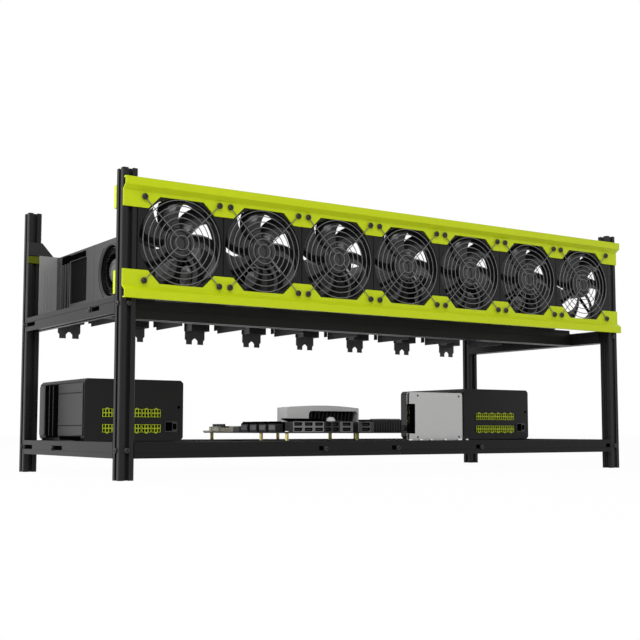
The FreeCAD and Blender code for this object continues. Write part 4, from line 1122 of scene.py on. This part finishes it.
def addPorts():
    shapes = {"portMetal": Shape(), "slotPlastic": Shape(), "greyPlastic": Shape()}
    wells, tongues = Shape(), Shape()
    front = board["low"].y
    at = frontAt(front + 0.0006)
    for finish, west, wide, columns in portStacks:
        shape = shapes[finish]
        column, row = wide / columns, portHigh / 2
        holes = []
        for i in range(columns):
            for j in range(2):
                inset = max(0.0022, (column - 0.0145) / 2)
                u0, u1 = west + column * i + inset, west + column * (i + 1) - inset
                v0, v1 = boardTop + row * j + 0.0015, boardTop + row * (j + 1) - 0.0013
                holes.append(roundedPoints(u0, v0, u1, v1, 0.0015, 3))
                tongues.box((u0 + 0.002, front + 0.0012, (v0 + v1) / 2 - 0.0007),
                            (u1 - 0.002, front + 0.0055, (v0 + v1) / 2 + 0.0007))
        face = roundedPoints(west + 0.0002, boardTop, west + wide - 0.0002, boardTop + portHigh, 0.0008)
        shape.plate([face] + holes, 0.0012, at, 0.0003)
        top = boardTop + portHigh - 0.0004
        shape.box((west + 0.0004, front + 0.0058, boardTop), (west + wide - 0.0004, front + portLong, top))
        for u in (west + 0.0002, west + wide - 0.001):
            shape.box((u, front + 0.0004, boardTop), (u + 0.0008, front + 0.006, top))
        shape.box((west + 0.0004, front + 0.0004, top - 0.0008), (west + wide - 0.0004, front + 0.006, top))
        # Painted shade inside each port opening
        wells.box((west + 0.001, front + 0.0056, boardTop + 0.0006),
                  (west + wide - 0.001, front + 0.0060, boardTop + portHigh - 0.0012))
    for finish, shape in shapes.items():
        slotName = {"portMetal": "port_metal"}.get(finish, "slot_plastic")
        piece = addShape("boardPorts_" + finish, shape, 35, finish, slotName)
        if finish == "portMetal":
            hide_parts("board_ports")
    addShape("boardPortWells", wells, 0, "blackAndPaintedShade", "slot_plastic")
    addShape("boardPortTongues", tongues, 0, "slotPlastic", "slot_plastic")


def addBoardParts():
    rng = random.Random(11)
    dark, grey, cream, bright, black, pale = Shape(), Shape(), Shape(), Shape(), Shape(), Shape()
    west, front, east, back = board["low"].x, board["low"].y, board["high"].x, board["high"].y
    cream.box((west + 0.003, back - 0.040, boardTop), (west + 0.013, back - 0.012, boardTop + 0.0085))
    cream.box((west + 0.002, front + 0.150, boardTop), (west + 0.011, front + 0.164, boardTop + 0.009))
    cream.box((west - 0.0025, back - 0.030, boardTop - 0.0006),
              (west + 0.004, back - 0.002, boardTop + 0.0022))
    for j in range(6):
        cream.box((west + 0.004, front + 0.168 + 0.006 * j, boardTop),
                  (west + 0.009, front + 0.1725 + 0.006 * j, boardTop + 0.0065))
    for j in range(4):
        low = (west + 0.0025, front + 0.026 + 0.027 * j, boardTop + 0.012)
        black.box(low, (west + 0.0135, low[1] + 0.020, boardTop + 0.0135))
        for k in range(4):
            black.box((west + 0.0035, low[1] + 0.0015 + 0.0047 * k, boardTop + 0.0135),
                      (west + 0.0125, low[1] + 0.0040 + 0.0047 * k, boardTop + 0.0155))
        grey.box((west + 0.0012, low[1] + 0.0015, boardTop + 0.003),
                 (west + 0.0021, low[1] + 0.0185, boardTop + 0.010))
    for j in range(4):
        grey.box((west + 0.002, front + 0.1345 + 0.0045 * j, boardTop),
                 (west + 0.010, front + 0.138 + 0.0045 * j, boardTop + 0.0075))
    cooler = Vector((0.0075, front + 0.006, boardTop))
    for k in range(boardCounts["coolerRibs"]):
        x = cooler.x + 0.0022 + 0.0048 * k
        dark.box((x, cooler.y - 0.0014, boardTop + 0.001), (x + 0.0022, cooler.y + 0.0002, boardTop + 0.017))
    bright.plate([roundedPoints(cooler.x + 0.020, cooler.y + 0.001, cooler.x + 0.0565, cooler.y + 0.033,
                                0.002)], 0.0014, Matrix.Translation((0, 0, boardTop + 0.019)), 0.0004)
    for k in range(boardCounts["slats"]):
        y, z = front + 0.0235 + 0.0034 * k, boardTop + 0.0145 + 0.0006 * k
        black.box((-0.128, y, z), (-0.062, y + 0.0018, z + 0.002))
    black.box((-0.129, front + 0.0228, boardTop), (-0.061, front + 0.0475, boardTop + 0.0148))
    for k in range(boardCounts["coolerBars"]):
        y = front + 0.024 + 0.005 * k
        dark.box((-0.058, y, boardTop), (-0.0335, y + 0.0025, boardTop + 0.0175))
    dark.box((-0.058, front + 0.0228, boardTop), (-0.0335, front + 0.0475, boardTop + 0.012))
    for x, y, long, deep, high in boardChips:
        dark.box((x, front + y, boardTop), (x + long, front + y + deep, boardTop + high))
    for i in range(boardCounts["smallParts"]):
        x, y = rng.uniform(west + 0.02, east - 0.006), rng.uniform(front + 0.05, back - 0.008)
        long, deep = rng.choice(((0.0016, 0.0008), (0.0008, 0.0016), (0.003, 0.002), (0.004, 0.0045)))
        (bright if i % 5 == 0 else dark).box((x, y, boardTop), (x + long, y + deep, boardTop + 0.0010))
    for k in range(4):
        y = front + 0.198 + 0.010 * k
        for x in (-0.1415, -0.004):
            dark.box((x, y - 0.0004, boardTop), (x + 0.0035, y + 0.0064, boardTop + 0.0125))
        # Painted shade along the groove of each memory slot
        black.box((-0.136, y + 0.0022, boardTop + 0.0088), (-0.006, y + 0.0038, boardTop + 0.0092))
        x = 0.075 + 0.0203 * k
        # Painted shade along the groove of each card slot
        black.box((x + 0.0028, front + 0.051, boardTop + 0.0108),
                  (x + 0.0047, front + 0.134, boardTop + 0.0112))
        dark.box((x - 0.0005, front + 0.136, boardTop), (x + 0.008, front + 0.1405, boardTop + 0.013))
    for x, y, long, deep, high in edgeSockets:
        pale.box((west + x, front + y, boardTop), (west + x + long, front + y + deep, boardTop + high))
        # Painted shade in the opening of each small socket
        black.box((west + x + 0.001, front + y + 0.001, boardTop + high - 0.0001),
                  (west + x + long - 0.001, front + y + deep - 0.001, boardTop + high + 0.0004))
    for i in range(boardCounts["edgeParts"]):
        x, y = rng.uniform(west + 0.002, west + 0.019), rng.uniform(front + 0.022, back - 0.004)
        high = rng.uniform(0.001, 0.004)
        (pale if i % 3 else bright).box((x, y, boardTop), (x + 0.0022, y + 0.0016, boardTop + high))
    for i in range(boardCounts["paleBlocks"]):
        x, high = -0.012 + 0.0085 * i, 0.0035 + 0.0012 * (i % 3)
        pale.box((x, front + 0.0425, boardTop), (x + 0.004, front + 0.0475, boardTop + high))
    addShape("boardPaleParts", pale, 0, "palePlastic", "pale_plastic", bevel=0.00025)
    # The black parts also hold the painted shade in slot grooves and socket openings
    for name, shape, finish, slotName in (("boardDarkParts", dark, "slotPlastic", "slot_plastic"),
                                          ("boardGreyParts", grey, "greyPlastic", "slot_plastic"),
                                          ("boardCreamParts", cream, "creamPlastic", "pale_plastic"),
                                          ("boardBrightParts", bright, "driveCase", "sink_metal"),
                                          ("boardBlackParts", black, "blackAndPaintedShade", "slot_plastic")):
        addShape(name, shape, 35, finish, slotName, bevel=0.00025)
    can = Shape()
    can.turned([(0.0027, 0), (0.0031, 0.0004), (0.0031, 0.0016), (0.0028, 0.0020), (0.0031, 0.0024),
                (0.0031, 0.0076), (0.0028, 0.0080), (0.001, 0.0078)], facingUp, 16)
    canMesh = can.asMesh("can", 40)
    up = (0, 0, 1)
    points = [((-0.098 + 0.0085 * i, front + 0.082, boardTop), up, 0.9) for i in range(9)]
    points += [((0.012, front + 0.092 + 0.0085 * i, boardTop), up, 0.9) for i in range(9)]
    points += [((0.066, front + 0.155 + 0.009 * i, boardTop), up, 0.8) for i in range(6)]
    addCopies("boardCapacitors", canMesh, points, "brightMetal", "port_metal")
    dome = Shape()
    dome.turned([(0.0034, 0), (0.0034, 0.010), (0.0062, 0.0105), (0.0060, 0.0125), (0.0048, 0.0148),
                 (0.0026, 0.0160), (0.0006, 0.0163)], facingUp, 24)
    domeMesh = dome.asMesh("dome", 40)
    places = [((-0.0535, front + 0.026, boardTop + 0.0045), up, 1.1)]
    addCopies("boardKnob", domeMesh, places, "palePlastic", "pale_plastic")


def addBoardScrews():
    front = board["low"].y
    points = [((x, front + y, boardTop), (0, 0, 1), 0.8) for x in (-0.142, -0.018, 0.14)
              for y in (0.008, 0.080, 0.235) if x != -0.018 or y > 0.01]
    addCopies("boardScrews", screwMesh(), points, "brightMetal", "brass_post")


addPorts()
addBoardParts()
addBoardScrews()
print("motherboard made")

# Light cover behind the ports: arched shell, face with a rounded mouth, painted shade filling its inside,
# leaning fins
coverValues = {"crown": 0.0035, "wall": 0.0018, "mouthWest": 0.039, "mouthWide": 0.09, "mouthDrop": 0.0085,
               "mouthHigh": 0.024, "mouthCorner": 0.0055, "fins": 13, "finThick": 0.0012, "lean": 0.004}


def archPoints(low, high, inset, count=24):
    width, crown = high.x - low.x, coverValues["crown"]
    radius = ((width / 2) ** 2 + crown ** 2) / (2 * crown)
    middle = (low.x + high.x) / 2
    points = [(low.x + inset, low.z + inset), (high.x - inset, low.z + inset)]
    for i in range(count + 1):
        x = high.x - inset - (width - 2 * inset) * i / count
        points.append((x, high.z - radius + math.sqrt(radius ** 2 - (x - middle) ** 2) - inset))
    return points


def addCover():
    v = coverValues
    low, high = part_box("port_cover")
    west, east = low.x + v["mouthWest"], low.x + v["mouthWest"] + v["mouthWide"]
    top, bottom = high.z - v["mouthDrop"], high.z - v["mouthDrop"] - v["mouthHigh"]
    mouth = roundedPoints(west, bottom, east, top, v["mouthCorner"], 6)
    shell, insideShade, fins = Shape(), Shape(), Shape()
    deep = high.y - low.y
    front = frontAt(low.y + v["wall"])
    shell.plate([archPoints(low, high, 0), mouth], v["wall"], front, 0.0005)
    shell.plate([archPoints(low, high, 0), archPoints(low, high, v["wall"])], deep - 2 * v["wall"],
                frontAt(high.y - v["wall"]))
    shell.plate([archPoints(low, high, 0)], v["wall"], frontAt(high.y), 0.0005)
    addShape("portCover", shell, 35, "palePlastic", "pale_plastic",
             replaced=["port_cover"])
    # Painted shade: a dark block that fills the cover behind its mouth
    insideShade.plate([archPoints(low, high, v["wall"] + 0.0001)], deep - 0.016,
                 frontAt(high.y - v["wall"]))
    addShape("coverLining", insideShade, 35, "blackAndPaintedShade", "slot_plastic")
    for i in range(v["fins"]):
        x = west + v["mouthWide"] * (i + 0.6) / v["fins"]
        near, far = low.y + 0.0045, low.y + 0.0135
        lean, thick = v["lean"], v["finThick"]
        rings = [[(x, near, bottom + 0.0006), (x + thick, near, bottom + 0.0006),
                  (x + thick, far, bottom + 0.0006), (x, far, bottom + 0.0006)],
                 [(x + lean, near, top - 0.0006), (x + lean + thick, near, top - 0.0006),
                  (x + lean + thick, far, top - 0.0006), (x + lean, far, top - 0.0006)]]
        if x + lean + thick < east - 0.002:
            fins.loft(rings)
    addShape("coverFins", fins, 0, "slotPlastic", "slot_plastic")


addCover()
print("port cover made")

# Drive: core, two covers with a notch, the plug in the notch, corner screws, small feet
driveLow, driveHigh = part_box("drive")
driveValues = {"notchDeep": 0.0105, "notchBottom": 0.010, "notchTop": 0.053, "corner": 0.0035,
               "cover": 0.0009, "contacts": 24, "contactStep": 0.00155}
# Start and length of the plug's blocks, up from the notch's bottom, and of the feet, from the west edge
plugBlocks = ((0, 0.017), (0.0185, 0.0105), (0.0305, 0.0112))
driveFeet = ((-0.004, 0.006), (0.016, 0.005), (0.036, 0.003), (0.062, 0.004), (0.088, 0.008), (0.104, 0.004))


def addDrive():
    v = driveValues
    west, east, bottom, top = driveLow.x, driveHigh.x, driveLow.z, driveHigh.z
    inner = west + v["notchDeep"]

    def outline(inset):
        around = roundedPoints(west + inset, bottom + inset, east - inset, top - inset, v["corner"])
        upper, lower = bottom + v["notchTop"] + inset, bottom + v["notchBottom"] - inset
        notch = [(west + inset, upper), (inner + inset, upper), (inner + inset, lower), (west + inset, lower)]
        return around[:15] + notch + around[15:]

    covers, core = Shape(), Shape()
    core.plate([outline(0.0006)], driveHigh.y - driveLow.y - 2 * v["cover"],
               frontAt(driveHigh.y - v["cover"]))
    covers.plate([outline(0.0)], v["cover"], frontAt(driveLow.y + v["cover"]),
                 0.0003)
    covers.plate([outline(0.0)], v["cover"], frontAt(driveHigh.y), 0.0003)
    addShape("driveCovers", covers, 35, "driveCase", "drive_case", replaced=["drive"])
    addShape("driveCore", core, 35, "slotPlastic", "slot_plastic")
    plug = Shape()
    notchLow, notchHigh = bottom + v["notchBottom"] + 0.0006, bottom + v["notchTop"] - 0.0006
    plug.box((west + 0.002, driveLow.y + 0.0012, notchLow), (inner, driveHigh.y - 0.0012, notchHigh))
    for z, high in [(notchLow + above, high) for above, high in plugBlocks]:
        plug.box((west + 0.0005, driveLow.y + 0.0004, z), (west + 0.0066, driveLow.y + 0.0016, z + high))
        plug.box((west + 0.0005, driveHigh.y - 0.0016, z), (west + 0.0066, driveHigh.y - 0.0004, z + high))
    addShape("drivePlug", plug, 0, "blackAndPaintedShade", "slot_plastic", bevel=0.0002)
    contacts = Shape()
    for i in range(v["contacts"]):
        z = notchLow + 0.0022 + v["contactStep"] * i
        contacts.box((west + 0.0012, driveLow.y + 0.0026, z), (west + 0.0022, driveLow.y + 0.003, z + 0.0008))
    addShape("driveContacts", contacts, 0, "goldContact", "brass_post")
    points = []
    for x in (west + 0.015, east - 0.007):
        for z in (bottom + 0.005, top - 0.005):
            points += [((x, driveLow.y, z), (0, -1, 0), 0.35), ((x, driveHigh.y, z), (0, 1, 0), 0.35)]
    addCopies("driveScrews", screwMesh(), points, "screwSteel", "black_steel")
    feet = Shape()
    for x, wide in driveFeet:
        feet.box((west + x, driveLow.y - 0.004, bottom),
                 (west + x + wide, driveLow.y - 0.0005, bottom + 0.0022))
    addShape("driveFeet", feet, 0, "brightMetal", "port_metal", bevel=0.0004)


addDrive()
print("drive made")

# Keyholes: a floor of painted shade in each
keyholes = {"high": 0.006, "deep": 0.0028, "frontBottom": 0.0341, "frontTop": 0.0399}
sideKeyholes = ((0.034, 0.0125, 0.0455), (0.034, 0.1315, 0.1655), (0.213, -0.1095, -0.0845),
                (0.213, 0.1315, 0.1655))
frontKeyholes = ((-0.153, -0.146), (-0.029, -0.022), (0.129, 0.136), (0.411, 0.421))


def addKeyholes():
    v = keyholes
    floors = Shape()
    for z, front, back in sideKeyholes:
        for x, out in ((cadBounds[0].x, 1), (cadBounds[1].x, -1)):
            near, far = sorted((x + out * (v["deep"] - 0.0003), x + out * (v["deep"] + 0.0002)))
            floors.box((near, front + 0.0001, z + 0.0001), (far, back - 0.0001, z + v["high"] - 0.0001))
    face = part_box("tray_rail_front")[0].y
    for west, east in frontKeyholes:
        floors.box((west + 0.0001, face + v["deep"] - 0.0003, v["frontBottom"]),
                   (east - 0.0001, face + v["deep"] + 0.0002, v["frontTop"]))
    addShape("keyholeFloors", floors, 0, "blackAndPaintedShade", "black_steel")


addKeyholes()
print("keyholes made")

# Camera, light, floor
view = {"place": (-0.9793, -1.4188, 0.0609), "turn": (94.7136, -0.0351, -33.7163), "lens": 61.731,
        "shift": 0.03125}
camera = bpy.data.objects.new("camera", bpy.data.cameras.new("camera"))
camera.location = view["place"]
camera.rotation_euler = Euler([math.radians(a) for a in view["turn"]])
camera.data.sensor_width = 36
camera.data.lens = view["lens"]
camera.data.shift_y = view["shift"]
camera.data.clip_start = 0.01
bpy.context.scene.collection.objects.link(camera)
bpy.context.scene.camera = camera


def addLamp(name, place, target, size, power):
    lamp = bpy.data.lights.new(name, "AREA")
    lamp.shape = "SQUARE"
    lamp.size = size
    lamp.energy = power
    holder = bpy.data.objects.new(name, lamp)
    holder.location = place
    holder.rotation_euler = (Vector(target) - Vector(place)).to_track_quat("-Z", "Y").to_euler()
    bpy.context.scene.collection.objects.link(holder)


addLamp("keyLamp", (-1.6, -2.4, 2.2), (0, 0, 0.2), 1.6, 34)
addLamp("sideLamp", (-2.8, 0.4, 1.2), (0, 0, 0.2), 1.8, 58)
addLamp("fillLamp", (2.2, -1.8, 1.6), (0, 0, 0.2), 1.8, 5)


def studioWorld():
    world = bpy.data.worlds.new("studio")
    world.use_nodes = True
    bpy.context.scene.world = world
    maker = NodeMaker(world.node_tree)
    path = maker.add("ShaderNodeLightPath")
    seen = Link(maker, path.outputs["Is Camera Ray"])
    for ray in ("Is Glossy Ray", "Is Transmission Ray"):
        seen = seen + Link(maker, path.outputs[ray])
    seen = maker.maths("MINIMUM", seen, 1.0)
    background = world.node_tree.nodes["Background"]
    background.inputs["Color"].default_value = (1, 1, 1, 1)
    maker.feed(background.inputs["Strength"], seen * 0.55 + 0.45)


def floorFinish():
    material = bpy.data.materials.new("paleFloor")
    material.use_nodes = True
    maker = NodeMaker(material.node_tree)
    shader = material.node_tree.nodes["Principled BSDF"]
    shader.inputs["Base Color"].default_value = (0.86, 0.86, 0.86, 1)
    shader.inputs["Roughness"].default_value = 0.9
    shader.inputs["Specular IOR Level"].default_value = 0.0
    path = maker.add("ShaderNodeLightPath")
    seen = Link(maker, path.outputs["Is Camera Ray"]) + Link(maker, path.outputs["Is Glossy Ray"])
    seen = maker.maths("MINIMUM", seen, 1.0)
    glow = maker.link("ShaderNodeEmission", 0, None, {"Color": (1, 1, 1, 1), "Strength": 1.0})
    both = maker.link("ShaderNodeMixShader", 0, None, {0: seen * 0.97, 1: shader.outputs[0], 2: glow})
    maker.feed(material.node_tree.nodes["Material Output"].inputs["Surface"], both)
    return material


def addFloor():
    mesh = bpy.data.meshes.new("floor")
    half, drop = 12.0, -0.0003
    mesh.from_pydata([(-half, -half, drop), (half, -half, drop), (half, half, drop), (-half, half, drop)],
                     [], [(0, 1, 2, 3)])
    mesh.materials.append(floorFinish())
    floor = bpy.data.objects.new("floor", mesh)
    bpy.context.scene.collection.objects.link(floor)


studioWorld()
addFloor()
bpy.context.scene.view_settings.view_transform = "Standard"
print("studio made")
